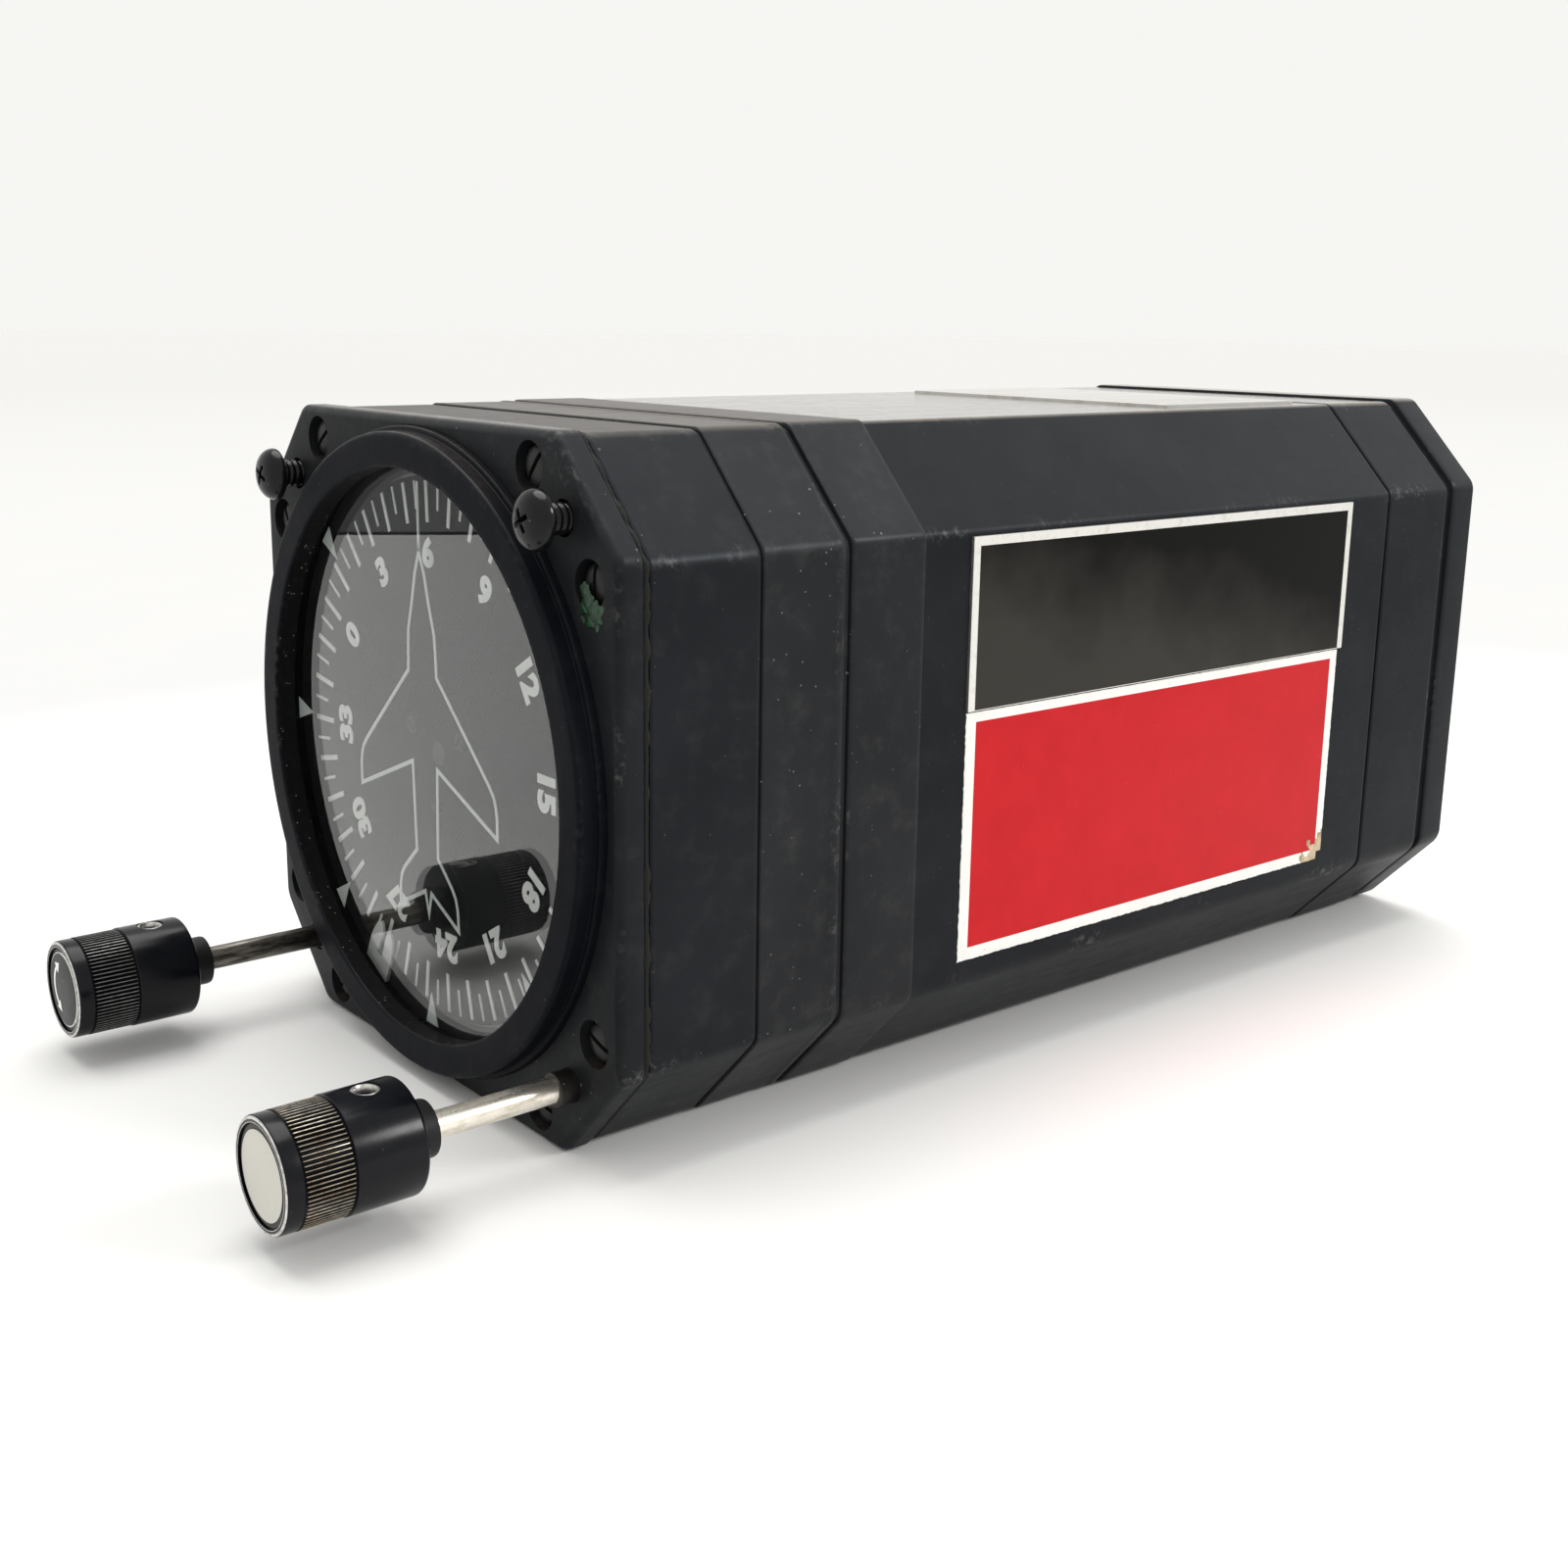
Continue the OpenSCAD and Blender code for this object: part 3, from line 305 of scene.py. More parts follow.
def knurl_mat(name="knurl", warm=(0.36, 0.27, 0.17), pale=(0.46, 0.43, 0.37), share=1.0):
    """Black finish that is worn to bright metal on the ridges."""
    M = Mat(name)
    n = M.noise(1400, 4, 0.6)
    w = M.math("MULTIPLY", M.ramp(M.attr("wear"), [(0.80, 0.0), (1.0, 1.0)]), M.ramp(n, [(0.30, 0.30), (0.62, share)]))
    big = M.ramp(M.noise(260, 3, 0.6), [(0.35, 0.0), (0.65, 1.0)])
    bright = M.mix(big, warm, pale)
    col = M.mix(w, (0.003, 0.003, 0.0035), bright)
    return M.set(color=col, metal=w, rough=M.math("SUBTRACT", 0.36, M.math("MULTIPLY", w, 0.06)), normal=M.bump(n, 0.00001, 0.6), spec=M.math("ADD", M.math("MULTIPLY", w, 0.3), 0.12))


MT["knurl"] = knurl_mat()
MT["knurl_left"] = knurl_mat("knurl_left", (0.24, 0.235, 0.23), (0.34, 0.34, 0.335), 0.75)


def placard_mat():
    """Black plate with a painted reflection: the colour is lighter towards the lower front and fades out towards the
    upper rear.
    """
    M = Mat("placard_black")
    n = M.noise(500, 4, 0.6)
    # painted reflection: a lighter tone towards the lower front that fades out towards the upper rear stands in for the
    # plate's gloss gradient; only the specks are dust
    y = M.math("MULTIPLY", M.math("SUBTRACT", 0.126, M.pos(1)), 13.0)
    z = M.math("MULTIPLY", M.math("SUBTRACT", 0.0275, M.pos(2)), 47.0)
    g = M.math("ADD", M.math("MULTIPLY", y, 0.45), M.math("MULTIPLY", z, 0.55))
    g = M.math("ADD", g, M.math("MULTIPLY", M.math("SUBTRACT", M.noise(60, 3, 0.6), 0.5), 0.5))
    overlay_mask = M.ramp(g, [(0.35, 0.0), (0.75, 1.0)])
    sp = specks(M, 500, 0.06, 0.20)
    col = M.mix(overlay_mask, (0.0020, 0.0018, 0.0016), (0.036, 0.0335, 0.0290))
    col = M.mix(M.math("MULTIPLY", sp, 0.22), col, (0.3, 0.29, 0.27))
    r = M.math("ADD", M.math("MULTIPLY", n, 0.10), 0.24)
    return M.set(color=col, rough=r, normal=M.bump(M.noise(90, 2, 0.5), 0.00002, 0.4), spec=0.07)


def decal_mat():
    M = Mat("decal_red")
    a = M.noise(180, 5, 0.65)
    b = M.noise(2200, 2, 0.5)
    col = M.mix(M.ramp(a, [(0.3, 0.0), (0.75, 1.0)]), (0.47, 0.008, 0.012), (0.54, 0.012, 0.017))
    sp = M.math("MAXIMUM", specks(M, 380, 0.045, 0.08), specks(M, 900, 0.08, 0.04))
    col = M.mix(M.math("MULTIPLY", sp, 0.6), col, (0.75, 0.55, 0.5))
    r = M.math("ADD", M.math("MULTIPLY", a, 0.25), 0.24)
    nrm = M.bump(b, 0.000006, 0.5)
    nrm = M.bump(M.noise(70, 3, 0.6), 0.00006, 0.4, nrm)
    return M.set(color=col, rough=r, normal=nrm, spec=0.11)


def decal_white():
    M = Mat("decal_white")
    a = M.noise(300, 5, 0.7)
    col = M.mix(M.ramp(a, [(0.35, 0.0), (0.7, 1.0)]), (0.82, 0.82, 0.80), (0.76, 0.75, 0.71))
    col = M.mix(M.math("MULTIPLY", specks(M, 800, 0.10, 0.12), 0.35), col, (0.25, 0.22, 0.18))
    return M.set(color=col, rough=M.math("ADD", 0.3, M.math("MULTIPLY", a, 0.2)), normal=M.bump(M.noise(70, 3, 0.6), 0.00012, 0.4))


def glass_mat():
    M = Mat("cover_glass")
    n = M.noise(45, 2, 0.5)
    tint = M.mix(M.ramp(n, [(0.35, 0.0), (0.7, 1.0)]), (0.965, 0.98, 0.975), (0.975, 0.99, 0.985))
    M.set(rough=0.0, trans=1.0, ior=1.5, color=tint)
    return M.m


def green_mat():
    M = Mat("paint_dab")
    n = M.noise(900, 5, 0.75)
    col = M.mix(M.ramp(n, [(0.40, 0.0), (0.60, 1.0)]), (0.0006, 0.0045, 0.0016), (0.0035, 0.055, 0.014))
    return M.set(color=col, rough=0.28, normal=M.bump(n, 0.00015, 0.8))


def wall_mat():
    """Inside wall of the bezel ring: dull and dusty."""
    M = Mat("bezel_wall")
    n = M.noise(900, 5, 0.75)
    d = M.ramp(n, [(0.50, 0.0), (0.72, 1.0)])
    sp = M.math("MAXIMUM", specks(M, 800, 0.12, 0.3), specks(M, 1600, 0.16, 0.25))
    col = M.mix(M.math("MULTIPLY", d, 0.08), (0.0025, 0.0026, 0.0032), (0.10, 0.09, 0.07))
    col = M.mix(M.math("MULTIPLY", sp, 0.45), col, (0.42, 0.38, 0.31))
    return M.set(color=col, spec=0.12, rough=0.62, normal=M.bump(n, 0.00005, 0.8))


def bug_mat():
    """Black ring with a white pointer: the pointer is all that stands in front of the ring."""
    M = Mat("bug_ring")
    n = M.noise(1500, 3, 0.6)
    f = M.math("LESS_THAN", M.pos(1), 0.00239)
    white = M.mix(M.ramp(n, [(0.35, 0.0), (0.7, 1.0)]), (0.74, 0.75, 0.73), (0.80, 0.81, 0.79))
    return M.set(color=M.mix(f, (0.012, 0.012, 0.013), white), rough=0.5, normal=M.bump(n, 0.000008, 0.6))


MT["bug_ring"] = bug_mat()
MT["placard_black"] = placard_mat()
MT["decal_red"] = decal_mat()
MT["decal_white"] = decal_white()
MT["decal_torn"] = simple("decal_torn", (0.42, 0.34, 0.22), 0.75, var=0.55, grain=2200, bump=0.00005, dust=0.4)
MT["glass"] = glass_mat()
MT["green"] = green_mat()
MT["bezel_wall"] = wall_mat()


# ---------------------------------------------------------------- mesh tools
def obj(name, verts, faces, mats, angle=32, wear=None, face_mat=None, smooth=True):
    me = bpy.data.meshes.new(name)
    me.from_pydata([(x * MM, y * MM, z * MM) for x, y, z in verts], [], faces)
    me.validate()
    if wear is not None and len(wear) == len(me.vertices):
        a = me.attributes.new("wear", "FLOAT", "POINT")
        a.data.foreach_set("value", wear)
    for mt in (mats if isinstance(mats, (list, tuple)) else [mats]):
        me.materials.append(mt)
    if face_mat:
        me.polygons.foreach_set("material_index", face_mat)
    o = bpy.data.objects.new(name, me)
    bpy.context.scene.collection.objects.link(o)
    fix(o, angle, smooth)
    return o


def fix(o, angle=32, smooth=True):
    me = o.data
    bm = bmesh.new()
    bm.from_mesh(me)
    bmesh.ops.recalc_face_normals(bm, faces=bm.faces[:])
    bm.to_mesh(me)
    bm.free()
    if smooth:
        me.polygons.foreach_set("use_smooth", [True] * len(me.polygons))
        me.set_sharp_from_angle(angle=math.radians(angle))
    me.update()


def done(o, body, slot, *nodes):
    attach(o, body)
    if nodes:
        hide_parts(*nodes)
    return o


def unit(v):
    l = math.hypot(*v)
    return (v[0] / l, v[1] / l)


def octo(hw, hh, lx, lz):
    return [(hw - lx, -hh), (hw, -(hh - lz)), (hw, hh - lz), (hw - lx, hh),
            (-(hw - lx), hh), (-hw, hh - lz), (-hw, -(hh - lz)), (-(hw - lx), -hh)]


def soft(p, r, n=8, guard=0.9):
    """Rounded outline. Returns points and a weight that is 1 on the corners."""
    out, w = [], []
    k = len(p)
    for i in range(k):
        a, b, c = p[i - 1], p[i], p[(i + 1) % k]
        u = unit((a[0] - b[0], a[1] - b[1]))
        v = unit((c[0] - b[0], c[1] - b[1]))
        h = math.acos(max(-1, min(1, u[0] * v[0] + u[1] * v[1]))) / 2
        rr = r[i % len(r)]
        t = rr / math.tan(h)
        s = unit((u[0] + v[0], u[1] + v[1]))
        o = (b[0] + s[0] * rr / math.sin(h), b[1] + s[1] * rr / math.sin(h))
        S = (b[0] + u[0] * t, b[1] + u[1] * t)
        E = (b[0] + v[0] * t, b[1] + v[1] * t)
        out.append((S[0] + u[0] * guard, S[1] + u[1] * guard)); w.append(0.0)
        a0 = math.atan2(S[1] - o[1], S[0] - o[0])
        a1 = math.atan2(E[1] - o[1], E[0] - o[0])
        d = (a1 - a0 + math.pi) % (2 * math.pi) - math.pi
        for j in range(n + 1):
            f = j / n
            out.append((o[0] + rr * math.cos(a0 + d * f), o[1] + rr * math.sin(a0 + d * f)))
            w.append(0.45 + 0.55 * math.sin(math.pi * f))
        out.append((E[0] + v[0] * guard, E[1] + v[1] * guard)); w.append(0.0)
    return out, w


R_FRONT = [2.5, 2.5, 2.2, 2.2, 2.2, 2.2, 2.5, 2.5]
R_REAR = [3.5, 3.5, 1.5, 1.5, 1.5, 1.5, 3.5, 3.5]


def outline(inset, radii, dh=0.0):
    return soft(octo(HW - inset, HH - inset - dh, LX - inset * 0.45, LZ - inset * 0.45), radii)


def inner_outline(c=0.0):
    return soft(octo(HW - 2.5 - c, HH - 2.6 - c, 9.95 - c * 0.45, 10.5 - c * 0.45), [0.6] * 8)


def shell(name, stations, radii, mat, y_in, close=False, inner_c=0.0):
    """Loft of the case outline. stations: (y, inset, dh, wear)."""
    verts, wear, rings = [], [], []

    def ring(pts, ws, y, wv):
        rings.append(list(range(len(verts), len(verts) + len(pts))))
        for (x, z), w0 in zip(pts, ws):
            verts.append((x, y, z))
            wear.append(max(w0, wv) if wv >= 0 else 0)

    for (y, ins, dh, wv) in stations:
        pts, ws = outline(ins, radii, dh)
        ring(pts, ws, y, wv)
    pts, ws = inner_outline(inner_c)
    faces = []
    if close:
        ring(pts, [0] * len(pts), y_in[1], 0)
        ring(pts, [0] * len(pts), y_in[0], 0)
        n = len(pts)
        for a, b in zip(rings[:len(stations) - 1], rings[1:len(stations)]):
            faces += [(a[i], a[(i + 1) % n], b[(i + 1) % n], b[i]) for i in range(n)]
        faces.append(tuple(rings[len(stations) - 1]))
        faces.append(tuple(rings[-2]))
        a, b = rings[-2], rings[-1]
        faces += [(a[i], a[(i + 1) % n], b[(i + 1) % n], b[i]) for i in range(n)]
        a, b = rings[-1], rings[0]
        faces += [(a[i], a[(i + 1) % n], b[(i + 1) % n], b[i]) for i in range(n)]
    else:
        ring(pts, [0] * len(pts), y_in[1], 0)
        ring(pts, [0] * len(pts), y_in[0], 0)
        n = len(pts)
        for k in range(len(rings)):
            a, b = rings[k], rings[(k + 1) % len(rings)]
            faces += [(a[i], a[(i + 1) % n], b[(i + 1) % n], b[i]) for i in range(n)]
    return obj(name, verts, faces, mat, 30, wear)


def revolve(name, prof, mats, segs=160, cx=0.0, cz=0.0, closed=False, wear=None, seg_mat=None, angle=32):
    """Solid of revolution about a line along Y. prof: (radius, y) points."""
    verts, faces, w, fm, rings = [], [], [], [], []
    for k, (r, y) in enumerate(prof):
        if r < 1e-6:
            rings.append([len(verts)])
            verts.append((cx, y, cz)); w.append(wear[k] if wear else 0)
        else:
            rings.append(list(range(len(verts), len(verts) + segs)))
            for i in range(segs):
                a = 2 * math.pi * i / segs
                verts.append((cx + r * math.cos(a), y, cz + r * math.sin(a)))
                w.append(wear[k] if wear else 0)
    pairs = list(range(len(prof) - 1)) + ([len(prof) - 1] if closed else [])
    for k in pairs:
        a, b = rings[k], rings[(k + 1) % len(prof)]
        mi = seg_mat[k] if seg_mat else 0
        for i in range(segs):
            j = (i + 1) % segs
            if len(a) == 1 and len(b) == 1:
                continue
            if len(a) == 1:
                f = (a[0], b[j], b[i])
            elif len(b) == 1:
                f = (a[i], a[j], b[0])
            else:
                f = (a[i], a[j], b[j], b[i])
            faces.append(f); fm.append(mi)
    return obj(name, verts, faces, mats, angle, w, fm)


def cutter(y0, y1, r, x, z, segs=48):
    o = revolve("cut", [(0, y0), (r, y0), (r, y1), (0, y1)], MT["rubber"], segs, x, z)
    return o


def box_obj(name, lo, hi, mat=None):
    x0, y0, z0 = lo
    x1, y1, z1 = hi
    v = [(x0, y0, z0), (x1, y0, z0), (x1, y1, z0), (x0, y1, z0), (x0, y0, z1), (x1, y0, z1), (x1, y1, z1), (x0, y1, z1)]
    f = [(0, 3, 2, 1), (4, 5, 6, 7), (0, 1, 5, 4), (1, 2, 6, 5), (2, 3, 7, 6), (3, 0, 4, 7)]
    return obj(name, v, f, mat or MT["rubber"], smooth=False)


def drop(o):
    me = o.data
    bpy.data.objects.remove(o)
    bpy.data.meshes.remove(me)


def cut(o, tools, op="DIFFERENCE"):
    for t in tools:
        md = o.modifiers.new("b", "BOOLEAN")
        md.operation = op
        md.solver = "EXACT"
        md.object = t
    bake(o)
    for t in tools:
        drop(t)


def bake(o):
    dg = bpy.context.evaluated_depsgraph_get()
    dg.update()
    me = bpy.data.meshes.new_from_object(o.evaluated_get(dg), preserve_all_data_layers=True, depsgraph=dg)
    old = o.data
    o.modifiers.clear()
    o.data = me
    bpy.data.meshes.remove(old)


def bevel(o, width, segs=2, limit=50):
    md = o.modifiers.new("v", "BEVEL")
    md.width = width * MM
    md.segments = segs
    md.limit_method = "ANGLE"
    md.angle_limit = math.radians(limit)
    md.harden_normals = False
    md.use_clamp_overlap = True
    bake(o)


def join(name, objs):
    """Joins meshes that share one list of materials into one object."""
    bm = bmesh.new()
    mats = []
    for o in objs:
        off = []
        for mt in o.data.materials:
            if mt not in mats:
                mats.append(mt)
            off.append(mats.index(mt))
        n0 = len(bm.faces)
        bm.from_mesh(o.data)
        bm.faces.ensure_lookup_table()
        for f in bm.faces[n0:]:
            f.material_index = off[f.material_index] if off else 0
    me = bpy.data.meshes.new(name)
    bm.to_mesh(me)
    bm.free()
    for mt in mats:
        me.materials.append(mt)
    res = bpy.data.objects.new(name, me)
    bpy.context.scene.collection.objects.link(res)
    for o in objs:
        drop(o)
    return res


def prism(name, loop, y0, y1, mat, hole=None):
    """Flat closed loop in X and Z, carried from y0 to y1."""
    n = len(loop)
    v = [(x, y0, z) for x, z in loop] + [(x, y1, z) for x, z in loop]
    f = [tuple(range(n)), tuple(range(2 * n - 1, n - 1, -1))]
    f += [(i, (i + 1) % n, n + (i + 1) % n, n + i) for i in range(n)]
    return obj(name, v, f, mat, 40)


def ribbon(name, pts, w, y0, y1, mat, closed=False):
    """Line of constant width with mitred corners."""
    n = len(pts)
    L, Rr = [], []
    for i in range(n):
        p = pts[i]
        a = pts[i - 1] if (i > 0 or closed) else None
        b = pts[(i + 1) % n] if (i < n - 1 or closed) else None
        da = unit((p[0] - a[0], p[1] - a[1])) if a else None
        db = unit((b[0] - p[0], b[1] - p[1])) if b else None
        if da is None: da = db
        if db is None: db = da
        na, nb = (-da[1], da[0]), (-db[1], db[0])
        mx, mz = na[0] + nb[0], na[1] + nb[1]
        l2 = mx * mx + mz * mz
        s = 2.0 / l2 if l2 > 0.35 else 2.0 / 0.35
        ox, oz = mx * s * w / 2, mz * s * w / 2
        L.append((p[0] + ox, p[1] + oz)); Rr.append((p[0] - ox, p[1] - oz))
    v, f = [], []
    for (lx, lz), (rx, rz) in zip(L, Rr):
        v += [(lx, y0, lz), (rx, y0, rz), (rx, y1, rz), (lx, y1, lz)]
    for i in range(n if closed else n - 1):
        a, b = i * 4, ((i + 1) % n) * 4
        for k in range(4):
            f.append((a + k, a + (k + 1) % 4, b + (k + 1) % 4, b + k))
    if not closed:
        f.append((0, 1, 2, 3)); e = (n - 1) * 4
        f.append((e, e + 3, e + 2, e + 1))
    return obj(name, v, f, mat, 40)


# ---------------------------------------------------------------- case
def flange():
    verts, wear, rings = [], [], []
    st = [(3.3, 0.25, 0.0), (3.15, 0.05, 0.2), (2.95, 0.0, 0.0), (1.15, 0.0, 0.0)]
    for k in range(0, 7):
        a = math.radians(90 * k / 6)
        st.append((1.0 - 1.0 * math.sin(a), 1.0 - 1.0 * math.cos(a), 0.7 * math.sin(2 * a)))
    for (y, ins, wv) in st:
        pts, ws = outline(ins, R_FRONT)
        rings.append(list(range(len(verts), len(verts) + len(pts))))
        for (x, z), w0 in zip(pts, ws):
            verts.append((x, y, z)); wear.append(max(w0, wv))
    n = len(rings[0])
    faces = [tuple(rings[0]), tuple(rings[-1])]
    for a, b in zip(rings[:-1], rings[1:]):
        faces += [(a[i], a[(i + 1) % n], b[(i + 1) % n], b[i]) for i in range(n)]
    o = obj("flange_plate", verts, faces, MT["paint_flange"], 30, wear)
    FS = [(sx * a, sz * b) for sx in (-1, 1) for sz in (-1, 1) for a, b in ((25, 36.3), (36.3, 25))]
    tools = [cutter(-1, 1.5, 39.25, 0, 0, 192), cutter(-2, 5, 36.6, 0, 0, 192)]
    cut(o, tools)
    tools = []
    for x, z in FS:
        tools += [cutter(-1, 2.0, 2.75, x, z, 56), cutter(1.5, 5, 1.45, x, z, 32)]
    for sx in (-1, 1):
        for sz in (-1, 1):
            tools.append(cutter(-1, 5, 2.0, sx * CR, sz * CR, 40))
    cut(o, tools)
    bevel(o, 0.14, 2, 55)
    fix(o, 34)
    return done(o, CASE, "case_paint", "mounting_flange")


flange()


def bezel():
    def arc(cx, cy, r, a0, a1, n=5):
        return [(cx + r * math.cos(math.radians(a0 + (a1 - a0) * k / n)), cy + r * math.sin(math.radians(a0 + (a1 - a0) * k / n))) for k in range(n + 1)]
    p, w, s = [], [], []

    def add(pts, wv, mi):
        for q in pts:
            p.append(q); w.append(wv); s.append(mi)
    # outside, from the seat forwards, over the front face and down the opening
    add([(37.3, 1.5), (39.2, 1.5), (39.2, 0.3)], 0, 0)
    add(arc(38.9, -0.66, 0.3, 0, -90, 4), 0.35, 0)
    add([(38.66, -1.0)], 0, 0)
    add([(38.6, -1.1), (38.6, -2.55)], 0, 0)
    add(arc(38.05, -2.55, 0.55, 0, -90, 7), 0.5, 0)
    add([(37.4, -3.1), (35.4, -3.1)], 0, 0)
    add(arc(34.85, -2.75, 0.35, -90, -180, 6), 1.0, 0)
    s[-1] = 1
    add([(34.5, -2.5), (34.5, -0.54)], 0, 1)
    add([(34.5, -0.5)], 0, 1)
    add([(37.3, -0.5)], 0, 1)
    o = revolve("bezel_front_ring", p, [MT["paint_bezel"], MT["bezel_wall"]], 256, closed=True, wear=w, seg_mat=s, angle=28)
    return done(o, CASE, "case_paint", "bezel_ring")


bezel()

shell_front = shell("body_front", [(3.9, 0.45, 0.4, 0), (4.05, 0.15, 0.4, 0.3), (4.3, 0.0, 0.4, 0), (6, 0, 0.4, 0), (17.9, 0, 0.4, 0), (18.2, 0.02, 0.4, 0.35), (18.38, 0.12, 0.4, 0.3), (18.45, 0.3, 0.4, 0)],
                    R_FRONT, MT["paint_front"], (3.9, 18.45))
done(shell_front, CASE, "case_paint", "front_body")
rib = [(18.75, 0.3, 0.15, 0), (18.82, 0.12, 0.15, 0.2), (19.0, 0.02, 0.15, 0.3), (19.3, 0.05, 0.15, 0), (28.6, 0.08, 0.15, 0), (28.9, 0.07, 0.15, 0.1),
       (29.3, 0.0, 0.1, 0.5), (29.8, -0.0, 0.1, 0.8), (30.25, 0.03, 0.1, 0.7), (30.5, 0.16, 0.1, 0.5), (30.6, 0.38, 0.15, 0.1), (30.75, 0.45, 0.15, 0), (31.3, 0.45, 0.15, 0), (31.4, 0.6, 0.15, 0)]
shell_centre = shell("body_centre", rib, R_FRONT, MT["paint_centre"], (18.75, 31.4))
done(shell_centre, CASE, "case_paint", "centre_body")
st = [(31.4, 0.35, 0.0, 0), (31.46, 0.15, 0.0, 0.4), (31.65, 0.03, 0, 0.5), (32.0, 0.0, 0, 0), (41.9, 0.0, 0, 0), (42.4, 0.02, 0, 0.2), (42.62, 0.1, 0, 0.3), (42.75, 0.2, 0, 0.1),
      (43.3, 0.2, 0, 0), (134.7, 0.2, 0, 0), (135.1, 0.2, 0, 0.2), (135.25, 0.25, 0, 0.2), (135.3, 0.34, 0, 0)]
housing = shell("body_rear_housing", st, R_REAR, [MT["paint_rear"], MT["paint_centre"]], (31.4, 135.3))
fm = [1 if max(housing.data.vertices[v].co.y for v in p.vertices) < 42.7 * MM else 0 for p in housing.data.polygons]
housing.data.polygons.foreach_set("material_index", fm)
done(housing, CASE, "case_paint", "rear_housing")


def cap():
    st = [(135.6, 0.30, 0, 0), (135.64, 0.20, 0, 0.2), (135.8, 0.11, 0, 0.2), (136.1, 0.1, 0, 0), (149.9, 0.1, 0, 0), (150.25, 0.1, 0, 0.5), (150.48, 0.16, 0, 0.7), (150.58, 0.34, 0, 0.5), (150.6, 0.62, 0, 0),
          (150.7, 0.65, 0, 0), (151.9, 0.65, 0, 0), (152.0, 0.62, 0, 0), (152.02, 0.30, 0, 0.3), (152.12, 0.14, 0, 0.5), (152.4, 0.06, 0, 0.2), (153.0, 0.05, 0, 0), (157.2, 0.05, 0, 0)]
    for k in range(1, 7):
        a = math.radians(90 * k / 6)
        st.append((157.2 + 0.98 * math.sin(a), 0.05 + 0.8 * (1 - math.cos(a)), 0, 0.6 * math.sin(2 * a)))
    o = shell("body_rear_cap", st, [3.5, 3.5, 2.6, 2.2, 2.2, 2.6, 3.5, 3.5], MT["paint_rear"], (135.6, 154.2), close=True)
    for v in o.data.vertices:
        if 151.95 * MM < v.co.y and v.co.y != 154.2 * MM:
            v.co.z += 0.34 * MM
    tools = [cutter(140, 162, 8.5, s * 16, 14, 72) for s in (-1, 1)]
    for sx in (-1, 1):
        for sz in (-1, 1):
            tools += [cutter(155.6, 162, 3.2, sx * CR, sz * CR, 40), cutter(151.6, 162, 1.75, sx * CR, sz * CR, 24)]
    cut(o, tools)
    bevel(o, 0.12, 2, 55)
    fix(o, 34)
    return done(o, CASE, "case_paint", "rear_cap")


cap()


# Rough line of sealant between the flange and the front body
def sealant():
    pts, _ = outline(0.42, R_FRONT, 0.25)
    path = []
    n = len(pts)
    for i in range(n):
        a, b = pts[i], pts[(i + 1) % n]
        d = math.hypot(b[0] - a[0], b[1] - a[1])
        k = max(1, int(d / 0.35))
        for j in range(k):
            path.append((a[0] + (b[0] - a[0]) * j / k, a[1] + (b[1] - a[1]) * j / k))
    N = len(path)
    raw = [rnd.random() for _ in range(N)]
    lump = [sum(raw[(i + k) % N] for k in range(-2, 3)) / 5 for i in range(N)]
    verts, faces = [], []
    K = 9
    for i in range(N):
        p, q = path[i], path[(i + 1) % N]
        t = unit((q[0] - p[0], q[1] - p[1]))
        nx, nz = t[1], -t[0]
        bulge = 0.34 + 0.75 * max(0, lump[i] - 0.42) + 0.14 * raw[i]
        bulge = min(bulge, 0.40 if nx < -0.3 or nz < -0.3 else 0.62)
        lap = 0.10 + 0.9 * max(0, lump[i] - 0.46)
        for k in range(K):
            f = k / (K - 1)
            y = 3.3 - lap + (0.6 + 2 * lap) * f
            h = math.sin(math.pi * f) ** 0.6 * bulge
            wob = 0.03 * (rnd.random() - 0.5)
            verts.append((p[0] + nx * (h + wob), y, p[1] + nz * (h + wob)))
        verts.append((p[0] - nx * 1.5, 3.9, p[1] - nz * 1.5))
        verts.append((p[0] - nx * 1.5, 3.3, p[1] - nz * 1.5))
    K += 2
    for i in range(N):
        j = (i + 1) % N
        for k in range(K):
            kk = (k + 1) % K
            faces.append((i * K + k, i * K + kk, j * K + kk, j * K + k))
    o = obj("sealant_line", verts, faces, MT["sealant"], 60)
    return done(o, CASE, "sealant", "sealant_bead")


sealant()


# ---------------------------------------------------------------- screws
def flange_screw(x, z, turn, i):
    prof = [(0, 0.55), (1.2, 0.58), (1.85, 0.72), (2.2, 0.98), (2.33, 1.25), (2.33, 1.9), (2.25, 1.98), (1.2, 1.98), (1.2, 26.5), (0, 26.5)]
    o = revolve("fs%d" % i, prof, MT["screw_dark"], 48, x, z)
    t = box_obj("t", (-3, 0.2, -0.28), (3, 1.25, 0.28))
    t.data.transform(Matrix.Rotation(turn, 4, "Y"))
    t.data.transform(Matrix.Translation(Vector((x, 0, z)) * MM))
    cut(o, [t])
    bevel(o, 0.06, 1, 60)
    fix(o, 40)
    return o


FSP = [(sx * a, sz * b) for sx in (-1, 1) for sz in (-1, 1) for a, b in ((25, 36.3), (36.3, 25))]
objs = [flange_screw(x, z, rnd.uniform(0, math.pi), i) for i, (x, z) in enumerate(FSP)]
done(join("flange_screw_set", objs), CASE, "dark_screw", "flange_screws")


